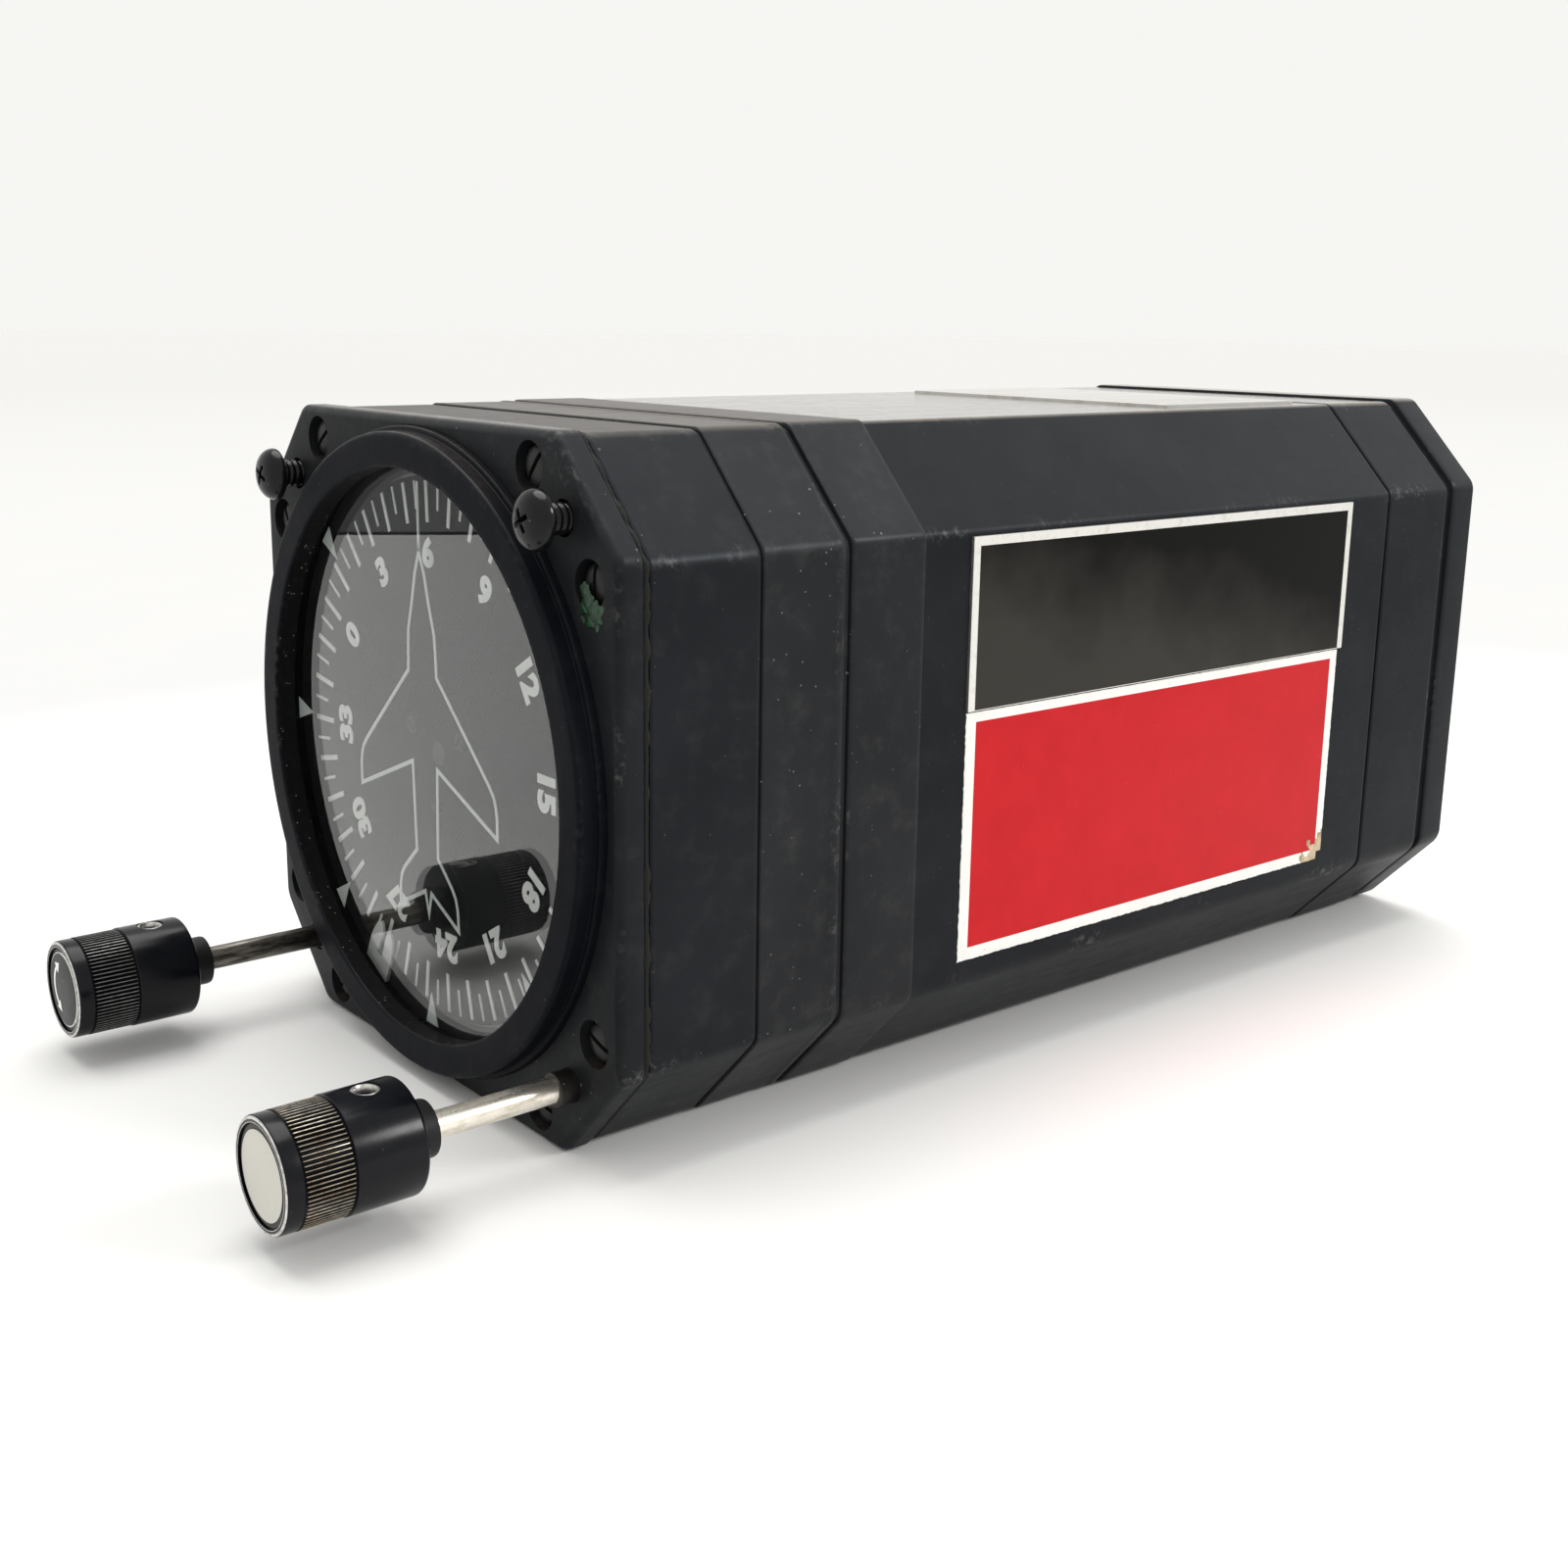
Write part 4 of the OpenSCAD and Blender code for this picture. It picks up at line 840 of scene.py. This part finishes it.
def panel_screw(x, z, turn, i):
    prof = [(0, -5.2), (0.9, -5.17), (1.7, -5.02), (2.4, -4.72), (2.9, -4.3), (3.2, -3.8), (3.3, -3.3), (3.24, -3.0), (3.1, -2.9), (1.75, -2.9)]
    y = -2.9
    while y < 9.5:
        prof += [(1.75, y + 0.15), (1.55, y + 0.4), (1.75, y + 0.65)]
        y += 0.8
    prof += [(1.5, 10.2), (1.1, 10.6), (0, 10.6)]
    o = revolve("ps%d" % i, prof, MT["screw_black"], 56, x, z, angle=38)
    tools = []
    for k in (0, 1):
        b = box_obj("t", (-1.75, -6, -0.36), (1.75, -3.95, 0.36))
        for v in b.data.vertices:
            if v.co.y > -5 * MM:
                v.co.x *= 0.45
                v.co.z *= 0.6
        b.data.transform(Matrix.Rotation(turn + k * math.pi / 2, 4, "Y"))
        b.data.transform(Matrix.Translation(Vector((x, 0, z)) * MM))
        tools.append(b)
    cut(o, tools)
    bevel(o, 0.07, 2, 60)
    fix(o, 40)
    return o


done(join("panel_screw_pair", [panel_screw(-CR, CR, 0.5, 0), panel_screw(CR, CR, 1.1, 1)]), CASE, "black_screw", "panel_screws")


# ---------------------------------------------------------------- knobs
def knob(name, px, front, r, band0, band1, back, collar, rs, nodes, body, teeth=72, kmat="knurl"):
    pz = -CR
    segs = teeth * 4
    P = []   # (y, radius outside the band, kind, wear, material)
    # material: 0 body, 1 knurl, 2 rim, 3 collar

    def ring(y, rad, kn=0.0, wv=0.0, mt=0):
        P.append((y, rad, kn, wv, mt))
    rf = r - 0.18
    ring(-front + 0.35, rf - 0.78, mt=0)
    ring(-front + 0.05, rf - 0.78, mt=0)
    ring(-front, rf - 0.74, mt=2)
    ring(-front, rf - 0.68, mt=0)
    ring(-front + 0.01, rf - 0.50, mt=0)
    ring(-front + 0.01, rf - 0.40, mt=2)
    ring(-front + 0.02, rf - 0.22, mt=2)
    ring(-front + 0.10, rf - 0.10, mt=0)
    ring(-front + 0.24, rf - 0.03, mt=0)
    ring(-front + 0.40, rf, mt=0)
    ring(-band0 - 0.10, rf, mt=0)
    ring(-band0 - 0.02, rf - 0.05, mt=1)
    ring(-band0 + 0.05, rf + 0.0, 0.5, 0.6, 1)
    ring(-band0 + 0.25, rf + 0.04, 1, 1, 1)
    ring(-band1 - 0.25, rf + 0.06, 1, 1, 1)
    ring(-band1 - 0.08, rf + 0.04, 0.5, 0.6, 1)
    ring(-band1 + 0.0, rf - 0.04, mt=0)
    ring(-band1 + 0.06, r - 0.06, mt=0)
    ring(-band1 + 0.16, r, mt=0)
    ring(-back - 0.50, r, mt=0)
    for k in range(1, 6):
        a = math.radians(90 * k / 5)
        ring(-back - 0.50 + 0.50 * math.sin(a), r - 0.50 * (1 - math.cos(a)), mt=0)
    ring(-back, 3.45, mt=3)
    ring(-back + 0.05, 3.18, mt=3)
    ring(-back + 0.3, 3.15, mt=3)
    ring(-collar - 0.35, 3.15, mt=3)
    ring(-collar - 0.1, 3.06, mt=3)
    ring(-collar, 2.85, mt=3)
    ring(-collar, rs, mt=3)
    ring(-front + 3.0, rs, mt=0)
    verts, wear, faces, fm = [], [], [], []
    for (y, rad, kn, wv, mt) in P:
        for i in range(segs):
            ph = i % 4
            d = 0.0
            ww = 0.0
            if kn:
                d = (0.0, 0.0, 0.30, 0.30)[ph] * kn
                ww = wv * (1.0, 1.0, 0.0, 0.0)[ph]
            a = 2 * math.pi * (i + (0.28 if ph in (0, 2) else -0.1)) / segs
            verts.append((px + (rad - d) * math.cos(a), y, pz + (rad - d) * math.sin(a)))
            wear.append(ww)
    for k in range(len(P) - 1):
        for i in range(segs):
            j = (i + 1) % segs
            faces.append((k * segs + i, k * segs + j, (k + 1) * segs + j, (k + 1) * segs + i))
            fm.append(P[k][4])
    # floor of the shaft's bore and of the front recess
    verts.append((px, -front + 3.0, pz)); wear.append(0)
    c = len(verts) - 1
    for i in range(segs):
        faces.append(((len(P) - 1) * segs + i, (len(P) - 1) * segs + (i + 1) % segs, c)); fm.append(0)
    verts.append((px, -front + 0.45, pz)); wear.append(0)
    c = len(verts) - 1
    for i in range(segs):
        faces.append(((i + 1) % segs, i, c)); fm.append(0)
    o = obj(name, verts, faces, [MT["knob"], MT[kmat], MT["rim"], MT["collar"]], 30, wear, fm)
    return o


SET_Y_R = -24.7
SET_Y_L = -23.1


def knob_hole(o, px, y, r=1.62):
    segs = 40
    v, f = [], []
    for z in (1.0, 8.0):
        for i in range(segs):
            a = 2 * math.pi * i / segs
            v.append((px + r * math.cos(a), y + r * math.sin(a), -CR + z))
    f = [tuple(range(segs)), tuple(range(2 * segs - 1, segs - 1, -1))] + [(i, (i + 1) % segs, segs + (i + 1) % segs, segs + i) for i in range(segs)]
    t = obj("t", v, f, MT["rubber"])
    me = o.data
    cut(o, [t])
    fix(o, 30)


def set_screw(name, px, y, r, body, node):
    """Threaded ring and socket screw, seen in the top of a knob."""
    prof = [(1.58, r - 0.38), (1.50, r - 0.22), (1.30, r - 0.20), (1.16, r - 0.42), (1.12, r - 0.75), (0.78, r - 0.80), (0.70, r - 0.95), (0.70, r - 2.2), (0, r - 2.2)]
    verts, faces, rings = [], [], []
    S = 48
    for rad, h in [(0, 1.7), (1.58, 1.7)] + prof:
        if rad == 0:
            rings.append([len(verts)]); verts.append((px, y, -CR + h))
        else:
            rings.append(list(range(len(verts), len(verts) + S)))
            for i in range(S):
                a = 2 * math.pi * i / S
                rr = rad
                if abs(rad - 0.70) < 1e-6:
                    rr = rad / max(abs(math.cos((a % (math.pi / 3)) - math.pi / 6)), 0.5) * 0.98
                verts.append((px + rr * math.cos(a), y + rr * math.sin(a), -CR + h))
    for a, b in zip(rings[:-1], rings[1:]):
        for i in range(S):
            j = (i + 1) % S
            if len(a) == 1:
                faces.append((a[0], b[j], b[i]))
            elif len(b) == 1:
                faces.append((a[i], a[j], b[0]))
            else:
                faces.append((a[i], a[j], b[j], b[i]))
    inside = [1 if max(math.hypot(verts[q][0] - px, verts[q][1] - y) for q in f) < 1.14 else 0 for f in faces]
    o = obj(name, verts, faces, [MT["rim"], MT["disc_dark"]], 35, None, inside)
    return done(o, body, "bright_steel", node)


kr = knob("knob_right", CR, 36.3, 6.35, 34.3, 28.85, 20.7, 17.7, 1.5, None, "bug_knob", 76)
knob_hole(kr, CR, SET_Y_R)
done(kr, "bug_knob", "knob_black", "bug_knob")
kl = knob("knob_left", -CR, 34.6, 6.35, 32.6, 27.0, 19.1, 16.0, 1.5, None, "set_knob", 76, "knurl_left")
knob_hole(kl, -CR, SET_Y_L)
done(kl, "set_knob", "knob_black", "set_knob")
set_screw("grub_screw_right", CR, SET_Y_R, 6.35, "bug_knob", "bug_knob_set_screw")
set_screw("grub_screw_left", -CR, SET_Y_L, 6.35, "set_knob", "set_knob_set_screw")

# discs in the fronts of the knobs
o = revolve("disc_right", [(0, -36.20), (4.60, -36.20), (4.72, -36.16), (4.80, -36.06), (5.24, -36.02), (5.32, -35.90), (5.32, -35.86), (0, -35.86)],
            [MT["cream"], MT["disc_edge"]], 96, CR, -CR, seg_mat=[0, 0, 1, 1, 1, 1, 1])
done(o, "bug_knob", "cream_disc", "bug_knob_disc")
o = revolve("disc_left", [(0, -34.48), (4.62, -34.48), (4.78, -34.44), (4.84, -34.36), (5.18, -34.32), (5.26, -34.20), (5.26, -34.16), (0, -34.16)],
            [MT["disc_dark"], MT["rim"]], 96, -CR, -CR, seg_mat=[0, 1, 1, 0, 0, 0, 0])
done(o, "set_knob", "metal_disc", "set_knob_disc")
# plain curved double arrow on the left disc
arc = [(-CR + 3.1 * math.cos(math.radians(a)), -CR + 3.1 * math.sin(math.radians(a))) for a in range(130, 231, 10)]
parts = [ribbon("a", arc, 0.42, -34.54, -34.46, MT["white_print"])]
for a, s in ((130, 1), (230, -1)):
    c = (-CR + 3.1 * math.cos(math.radians(a)), -CR + 3.1 * math.sin(math.radians(a)))
    tx, tz = -math.sin(math.radians(a)) * -s, math.cos(math.radians(a)) * -s
    rx, rz = math.cos(math.radians(a)), math.sin(math.radians(a))
    parts.append(prism("h", [(c[0] + tx * 1.3, c[1] + tz * 1.3), (c[0] + rx * 0.75, c[1] + rz * 0.75), (c[0] - rx * 0.75, c[1] - rz * 0.75)], -34.54, -34.46, MT["white_print"]))
done(join("disc_left_arrow", parts), "set_knob", "white_print")

# ---------------------------------------------------------------- glass
g = revolve("cover_glass_disc", [(0, -0.5), (37.05, -0.5), (37.2, -0.35), (37.2, 0.95), (37.05, 1.1), (0, 1.1)], MT["glass"], 256, angle=20)
done(g, CASE, "cover_glass", "cover_glass")

# ---------------------------------------------------------------- dial
HEAD = 62.0


def number_mesh(txt, size=4.9):
    c = bpy.data.curves.new("n", "FONT")
    c.body = txt
    c.size = size
    c.align_x = "CENTER"
    c.shear = 0.0
    c.offset = 0.26
    c.extrude = 0.04
    c.space_character = 0.98
    c.resolution_u = 6
    o = bpy.data.objects.new("n", c)
    bpy.context.scene.collection.objects.link(o)
    dg = bpy.context.evaluated_depsgraph_get()
    me = bpy.data.meshes.new_from_object(o.evaluated_get(dg), depsgraph=dg)
    bpy.data.objects.remove(o)
    bpy.data.curves.remove(c)
    return me


def card_marks():
    parts = []
    for v in range(0, 360, 5):
        long = v % 10 == 0
        a = math.radians(v - HEAD)
        r0, r1, w = (27.85, 32.75, 0.66) if long else (29.4, 32.75, 0.40)
        s, c = math.sin(a), math.cos(a)
        pts = []
        for rr, ww in ((r0, -w / 2), (r0, w / 2), (r1, w / 2), (r1, -w / 2)):
            pts.append((rr * s + ww * c, rr * c - ww * s))
        parts.append(prism("t", pts, 2.88, 2.99, MT["white_print"]))
    for k in range(12):
        me = number_mesh(str(k * 3))
        xs = [v.co.x for v in me.vertices]; ys = [v.co.y for v in me.vertices]
        cx, cy = (min(xs) + max(xs)) / 2, (min(ys) + max(ys)) / 2
        h = max(ys) - min(ys)
        sc = 3.75 / h
        a = math.radians(k * 30 - HEAD + (0.4, 0.3, -0.6, 1.2, 1.5, 2.0, 1.6, 1.0, 0, 0, 1.0, 0.4)[k])
        s, c = math.sin(a), math.cos(a)
        verts = []
        for v in me.vertices:
            x, y = (v.co.x - cx) * sc * 1.12, (v.co.y - cy) * sc + 24.3
            verts.append((x * c + y * s, 2.93 - v.co.z * 1.0, -x * s + y * c))
        faces = [tuple(p.vertices) for p in me.polygons]
        bpy.data.meshes.remove(me)
        parts.append(obj("n", verts, faces, MT["white_print"], 40))
    o = join("card_numbers_and_ticks", parts)
    return done(o, "dial_card", "white_print", "card_markings")


card_marks()

# three small screws on the hub of the card
objs = []
for i, a in enumerate((24, 156, 267)):
    x, z = 6.3 * math.cos(math.radians(a)), 6.3 * math.sin(math.radians(a))
    o = revolve("hs%d" % i, [(0, 2.4), (0.7, 2.43), (1.05, 2.58), (1.15, 2.8), (1.15, 3.02), (0, 3.02)], MT["dial_screw"], 36, x, z)
    t = box_obj("t", (-1.6, 1.9, -0.16), (1.6, 2.65, 0.16))
    t.data.transform(Matrix.Rotation(rnd.uniform(0, 3), 4, "Y"))
    t.data.transform(Matrix.Translation(Vector((x, 0, z)) * MM))
    cut(o, [t])
    fix(o, 40)
    objs.append(o)
done(join("card_hub_screws", objs), "dial_card", "dark_screw")


def symbols():
    w, y0, y1 = 0.52, 1.11, 1.19
    half = [(0, 24.7), (0.55, 23.3), (1.1, 22), (2.0, 18.6), (3.1, 15), (3.3, 12.5), (3.4, 10), (9.6, 4.3), (14.9, -0.6), (15.9, -1.75), (16.35, -2.8), (16.6, -4.2), (16.6, -6.7),
            (3.0, -1.2), (2.8, -6.7), (2.6, -12.3), (5.9, -15.3), (6.7, -16.4), (7.1, -17.8), (7.2, -20.3), (0.75, -17.2), (0, -20.0)]
    other = [(-x, z) for x, z in half[1:-1]]
    loop = half + other[::-1]
    parts = [ribbon("a", loop, w, y0, y1, MT["marks_print"], closed=True),
             ribbon("b", [(0, 32.8), (0, 24.6)], w, y0, y1, MT["marks_print"])]
    for k in range(1, 8):
        a = math.radians(45 * k)
        s, c = math.sin(a), math.cos(a)
        tri = [(30.1, 0), (34.3, 1.45), (34.3, -1.45)]
        parts.append(prism("c", [(r * s + q * c, r * c - q * s) for r, q in tri], y0, y1, MT["marks_print"]))
    return done(join("glass_symbols", parts), CASE, "white_print", "glass_markings")


symbols()


# ---------------------------------------------------------------- labels
def placard():
    x = HW - 0.2
    y0, y1, z0, z1 = 50.1, 125.8, 6.3, 27.2
    b = 1.05
    lv = [(x, 0.0), (x + 0.40, 0.0), (x + 0.45, 0.05), (x + 0.45, b), (x + 0.42, b + 0.05)]
    verts, faces, fm = [], [], []
    rings = []
    for k, (xx, ins) in enumerate(lv):
        rings.append(list(range(len(verts), len(verts) + 4)))
        low = ins if k < 3 else 0.12     # the pale border is covered along the lower edge
        verts += [(xx, y0 + ins, z0 + low), (xx, y1 - ins, z0 + low), (xx, y1 - ins, z1 - ins), (xx, y0 + ins, z1 - ins)]
    faces.append(tuple(rings[0])); fm.append(0)
    for k in range(len(rings) - 1):
        a, c = rings[k], rings[k + 1]
        for i in range(4):
            faces.append((a[i], a[(i + 1) % 4], c[(i + 1) % 4], c[i])); fm.append(0)
    faces.append(tuple(rings[-1])); fm.append(1)
    o = obj("side_placard", verts, faces, [MT["placard_pale"], MT["placard_black"]], 30, None, fm)
    return done(o, CASE, "placard_black", "caution_placard")


placard()


def decal():
    x = HW - 0.2
    y0, y1, z0, z1 = 50.2, 125.3, -25.2, 6.1
    NY, NZ = 188, 78
    verts, faces, fm = [], [], []

    def torn(y, z):
        # the lower rear corner is torn off
        return (y1 - y) + (z - z0) < 1.9 + 0.5 * math.sin(y * 3.3 + z * 2.1)
    edge = [rnd.uniform(-0.07, 0.07) for _ in range(700)]
    ys = [y0 + (y1 - y0) * i / NY for i in range(NY + 1)]
    zs = [z0 + (z1 - z0) * j / NZ for j in range(NZ + 1)]
    for layer in (0, 1):
        for i, y in enumerate(ys):
            for j, z in enumerate(zs):
                yy, zz = y, z
                if i == 0: yy += edge[j]
                if i == NY: yy -= abs(edge[60 + j])
                if j == 0: zz += edge[180 + i] * 0.8
                if j == NZ: zz -= abs(edge[400 + i]) * 0.6
                xx = x if layer == 0 else x + 0.13
                if layer and (i in (0, NY) or j in (0, NZ)):
                    xx = x + 0.08
                verts.append((xx, yy, zz))
    n = (NY + 1) * (NZ + 1)
    idx = lambda l, i, j: l * n + i * (NZ + 1) + j
    keep = [[not torn((ys[i] + ys[i + 1]) / 2, (zs[j] + zs[j + 1]) / 2) for j in range(NZ)] for i in range(NY)]
    for i in range(NY):
        for j in range(NZ):
            if not keep[i][j]:
                continue
            for l in (0, 1):
                q = (idx(l, i, j), idx(l, i + 1, j), idx(l, i + 1, j + 1), idx(l, i, j + 1))
                faces.append(q)
                yc, zc = (ys[i] + ys[i + 1]) / 2, (zs[j] + zs[j + 1]) / 2
                red = y0 + 1.6 < yc < y1 - 1.6 and z0 + 1.5 < zc < z1 - 1.3
                u = (y1 - yc) + (zc - z0)
                fm.append(2 if u + 1.3 * math.sin(yc * 2.1) * math.cos(zc * 1.7) < 5.2 else (1 if red else 0))
            for di, dj, e in ((-1, 0, (0, 1)), (1, 0, (2, 3)), (0, -1, None), (0, 1, None)):
                a, b = i + di, j + dj
                if 0 <= a < NY and 0 <= b < NZ and keep[a][b]:
                    continue
                if di == -1: p = ((i, j), (i, j + 1))
                elif di == 1: p = ((i + 1, j), (i + 1, j + 1))
                elif dj == -1: p = ((i, j), (i + 1, j))
                else: p = ((i, j + 1), (i + 1, j + 1))
                faces.append((idx(0, *p[0]), idx(0, *p[1]), idx(1, *p[1]), idx(1, *p[0]))); fm.append(0)
    o = obj("side_decal", verts, faces, [MT["decal_white"], MT["decal_red"], MT["decal_torn"]], 40, None, fm)
    bm = bmesh.new(); bm.from_mesh(o.data)
    loose = [v for v in bm.verts if not v.link_faces]
    bmesh.ops.delete(bm, geom=loose, context="VERTS")
    bm.to_mesh(o.data); bm.free()
    return done(o, CASE, "decal_red", "notice_decal")


decal()


def top_plate():
    z = HH - 0.2
    lv = [(z, 0.0), (z + 0.33, 0.0), (z + 0.39, 0.06), (z + 0.4, 0.2)]
    verts, faces, rings = [], [], []
    for (zz, ins) in lv:
        rings.append(list(range(len(verts), len(verts) + 4)))
        verts += [(-26 + ins, 104 + ins, zz), (25 - ins, 104 + ins, zz), (25 - ins, 133 - ins, zz), (-26 + ins, 133 - ins, zz)]
    faces.append(tuple(rings[0]))
    for a, c in zip(rings[:-1], rings[1:]):
        faces += [(a[i], a[(i + 1) % 4], c[(i + 1) % 4], c[i]) for i in range(4)]
    faces.append(tuple(rings[-1]))
    o = obj("top_plate", verts, faces, MT["data_plate"], 30)
    return done(o, CASE, "data_plate", "top_data_plate")


top_plate()


# Dab of green inspection paint beside one flange screw
def dab():
    bm = bmesh.new()
    r = random.Random(3)
    blobs = [(x + 1.9, z - 0.1, q * 1.05) for x, z, q in [(34.2, 23.4, 1.1), (33.6, 24.4, 0.9), (35.0, 22.6, 1.2), (35.9, 21.9, 0.8), (34.6, 21.6, 0.9), (33.3, 22.7, 0.7), (36.4, 22.8, 0.55), (35.6, 20.9, 0.5), (33.0, 21.4, 0.4)]]
    for (x, z, s) in blobs:
        res = bmesh.ops.create_icosphere(bm, subdivisions=3, radius=s)
        for v in res["verts"]:
            k = 1 + 0.22 * math.sin(v.co.x * 5.1 + x * 3) * math.cos(v.co.z * 4.3 + z * 2)
            v.co = Vector((v.co.x * k + x, v.co.y * 0.22, v.co.z * k + z))
    for v in bm.verts:
        v.co *= MM
    me = bpy.data.meshes.new("paint_dab")
    bm.to_mesh(me); bm.free()
    me.materials.append(MT["green"])
    me.polygons.foreach_set("use_smooth", [True] * len(me.polygons))
    o = bpy.data.objects.new("inspection_paint", me)
    bpy.context.scene.collection.objects.link(o)
    return done(o, CASE, "case_paint")


dab()

# ---------------------------------------------------------------- return spring
def coil(name, y0, y1, turns, rad, wire, px, pz, mat, n=36, k=10):
    """Compression spring with closed end turns."""
    N = int(turns * n)
    v, f = [], []
    for i in range(N + 1):
        t = i / N
        a = 2 * math.pi * turns * t
        y = y0 + (y1 - y0) * min(1.0, max(0.0, (t - 0.1) / 0.8))
        for j in range(k):
            b = 2 * math.pi * j / k
            q = rad + wire * math.cos(b)
            v.append((px + q * math.cos(a), y + wire * math.sin(b), pz + q * math.sin(a)))
    for i in range(N):
        for j in range(k):
            f.append((i * k + j, i * k + (j + 1) % k, (i + 1) * k + (j + 1) % k, (i + 1) * k + j))
    f.append(tuple(range(k - 1, -1, -1))); f.append(tuple(N * k + j for j in range(k)))
    return obj(name, v, f, mat, 50)


o = done(coil("return_spring", 8.22, 17.76, 6, 1.75, 0.2, -CR, -CR, MT["steel"]), CASE, "bright_steel", "set_return_spring")
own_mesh(o)

# ---------------------------------------------------------------- CAD nodes that stay
KEEP = {
    "glass_gasket": "rubber", "front_case_gasket": "rubber", "rear_cap_gasket": "rubber", "case_gaskets": "rubber",
    "case_bolts": "screw_dark", "air_inlet_port": "brass", "vacuum_port": "brass", "inlet_screen": "steel", "shaft_bushings": "bushing",
    "dial_plate": "alloy", "movement_screws": "steel", "movement_pillars": "brass", "rear_movement_plate": "alloy", "gimbal_frame": "alloy",
    "frame_screws": "steel", "azimuth_bearings": "steel", "dial_card": "dial", "card_shaft": "dial_screw", "card_gear": "brass", "bug_ring": "bug_ring",
    "bug_idler_gear": "brass", "bug_shaft": "shaft_r", "bug_pinion": "brass", "bug_retaining_collar": "steel", "set_shaft": "shaft_l",
    "set_pinion": "brass", "set_spring_washer": "steel", "set_idler_gear": "brass", "lay_shaft": "steel",
    "lay_front_gear": "brass", "lay_rear_pinion": "brass", "outer_gimbal": "alloy", "azimuth_gear": "brass", "tilt_bearings": "steel",
    "rotor_housing": "alloy", "rotor_housing_cover": "alloy", "rotor_bearings": "steel", "rotor": "brass", "rotor_shaft": "steel",
}
for node, ob in frame["nodes"].items():
    if node in KEEP:
        o = ob if hasattr(ob, "material_slots") else bpy.data.objects.get(str(ob))
        if o is None:
            continue
        if not o.material_slots:
            print("no slot on", node)
        for s in o.material_slots:
            s.material = MT[KEEP[node]]

# ---------------------------------------------------------------- stage and light
ZF = -HH * MM - 0.0001


def stage():
    e = 6.0
    me = bpy.data.meshes.new("floor")
    me.from_pydata([(-e, -e, ZF), (e, -e, ZF), (e, e, ZF), (-e, e, ZF)], [], [(0, 1, 2, 3)])
    o = bpy.data.objects.new("floor", me)
    bpy.context.scene.collection.objects.link(o)
    M = Mat("floor_mat")
    n = M.ramp(M.noise(14, 5, 0.6), [(0.35, 0.0), (0.7, 1.0)])
    # painted light: the floor is paler close around the case (near), which lifts the case's shadows, and a little
    # darker far out (far), painted shade that makes it meet the background at the horizon
    x = M.math("POWER", M.math("ABSOLUTE", M.pos(0)), 2.0)
    y = M.math("POWER", M.math("ABSOLUTE", M.math("MULTIPLY", M.math("SUBTRACT", M.pos(1), 0.09), 0.75)), 2.0)
    d = M.math("SQRT", M.math("ADD", x, y))
    near = M.ramp(d, [(0.10, 1.0), (0.25, 0.0)])
    near = M.math("MULTIPLY", near, M.ramp(M.math("ADD", M.pos(1), 0.12), [(0.02, 0.0), (0.12, 1.0)]))
    far = M.ramp(M.math("MULTIPLY", d, 0.4), [(0.09, 0.0), (0.75, 1.0)])
    col = M.mix(n, (0.548, 0.549, 0.550), (0.562, 0.560, 0.556))
    col = M.mix(near, col, (0.82, 0.818, 0.81))
    col = M.mix(far, col, (0.512, 0.510, 0.500))
    M.set(color=col, rough=0.6, spec=0.05)
    me.materials.append(M.m)
    # edge of the table top and the dim area beyond it, which the glass reflects: both are dark sheets, painted shade of
    # the dim surroundings beyond the table
    a, b = Vector((-0.622, -0.084, 0)), Vector((-0.421, -0.396, 0))
    d = (b - a).normalized()
    nn = Vector((d.y, -d.x, 0))

    def strip(name, near, away, z, mat):
        me = bpy.data.meshes.new(name)
        v = [a + nn * near, b + nn * near, b + nn * away, a + nn * away]
        me.from_pydata([(p.x, p.y, ZF + z) for p in v], [], [(0, 1, 2, 3)])
        me.materials.append(mat)
        q = bpy.data.objects.new(name, me)
        bpy.context.scene.collection.objects.link(q)
        return q
    M = Mat("edge_mat")
    M.set(color=M.mix(M.noise(30), (0.004, 0.004, 0.004), (0.010, 0.010, 0.010)), rough=0.8, spec=0.1)
    k = strip("table_edge", -0.004, 0.004, 0.0004, M.m)
    M = Mat("shade_beyond_table_mat")
    M.set(color=M.mix(M.noise(6), (0.080, 0.082, 0.086), (0.11, 0.11, 0.113)), rough=0.8)
    q = strip("shade_beyond_table", 0.004, 0.75, 0.0003, M.m)


stage()

w = bpy.data.worlds.new("world")
bpy.context.scene.world = w
w.use_nodes = True
w.node_tree.nodes["Background"].inputs[0].default_value = (0.925, 0.92, 0.90, 1)
w.node_tree.nodes["Background"].inputs[1].default_value = 1.0


def sun(name, direction, irradiance, angle, color=(1, 1, 1)):
    """Wide soft light from far away, so that the floor is lit evenly out to its edge."""
    d = bpy.data.lights.new(name, "SUN")
    d.energy = irradiance
    d.color = color
    d.angle = math.radians(angle)
    o = bpy.data.objects.new(name, d)
    bpy.context.scene.collection.objects.link(o)
    o.rotation_euler = Vector(direction).to_track_quat("Z", "Y").to_euler()
    return o


sun("overhead", (-0.22, 0.10, 1.0), 2.18, 48, (1.0, 0.995, 0.985))
sun("far_right", (0.66, 0.56, 0.50), 1.15, 15, (1.0, 0.995, 0.985))
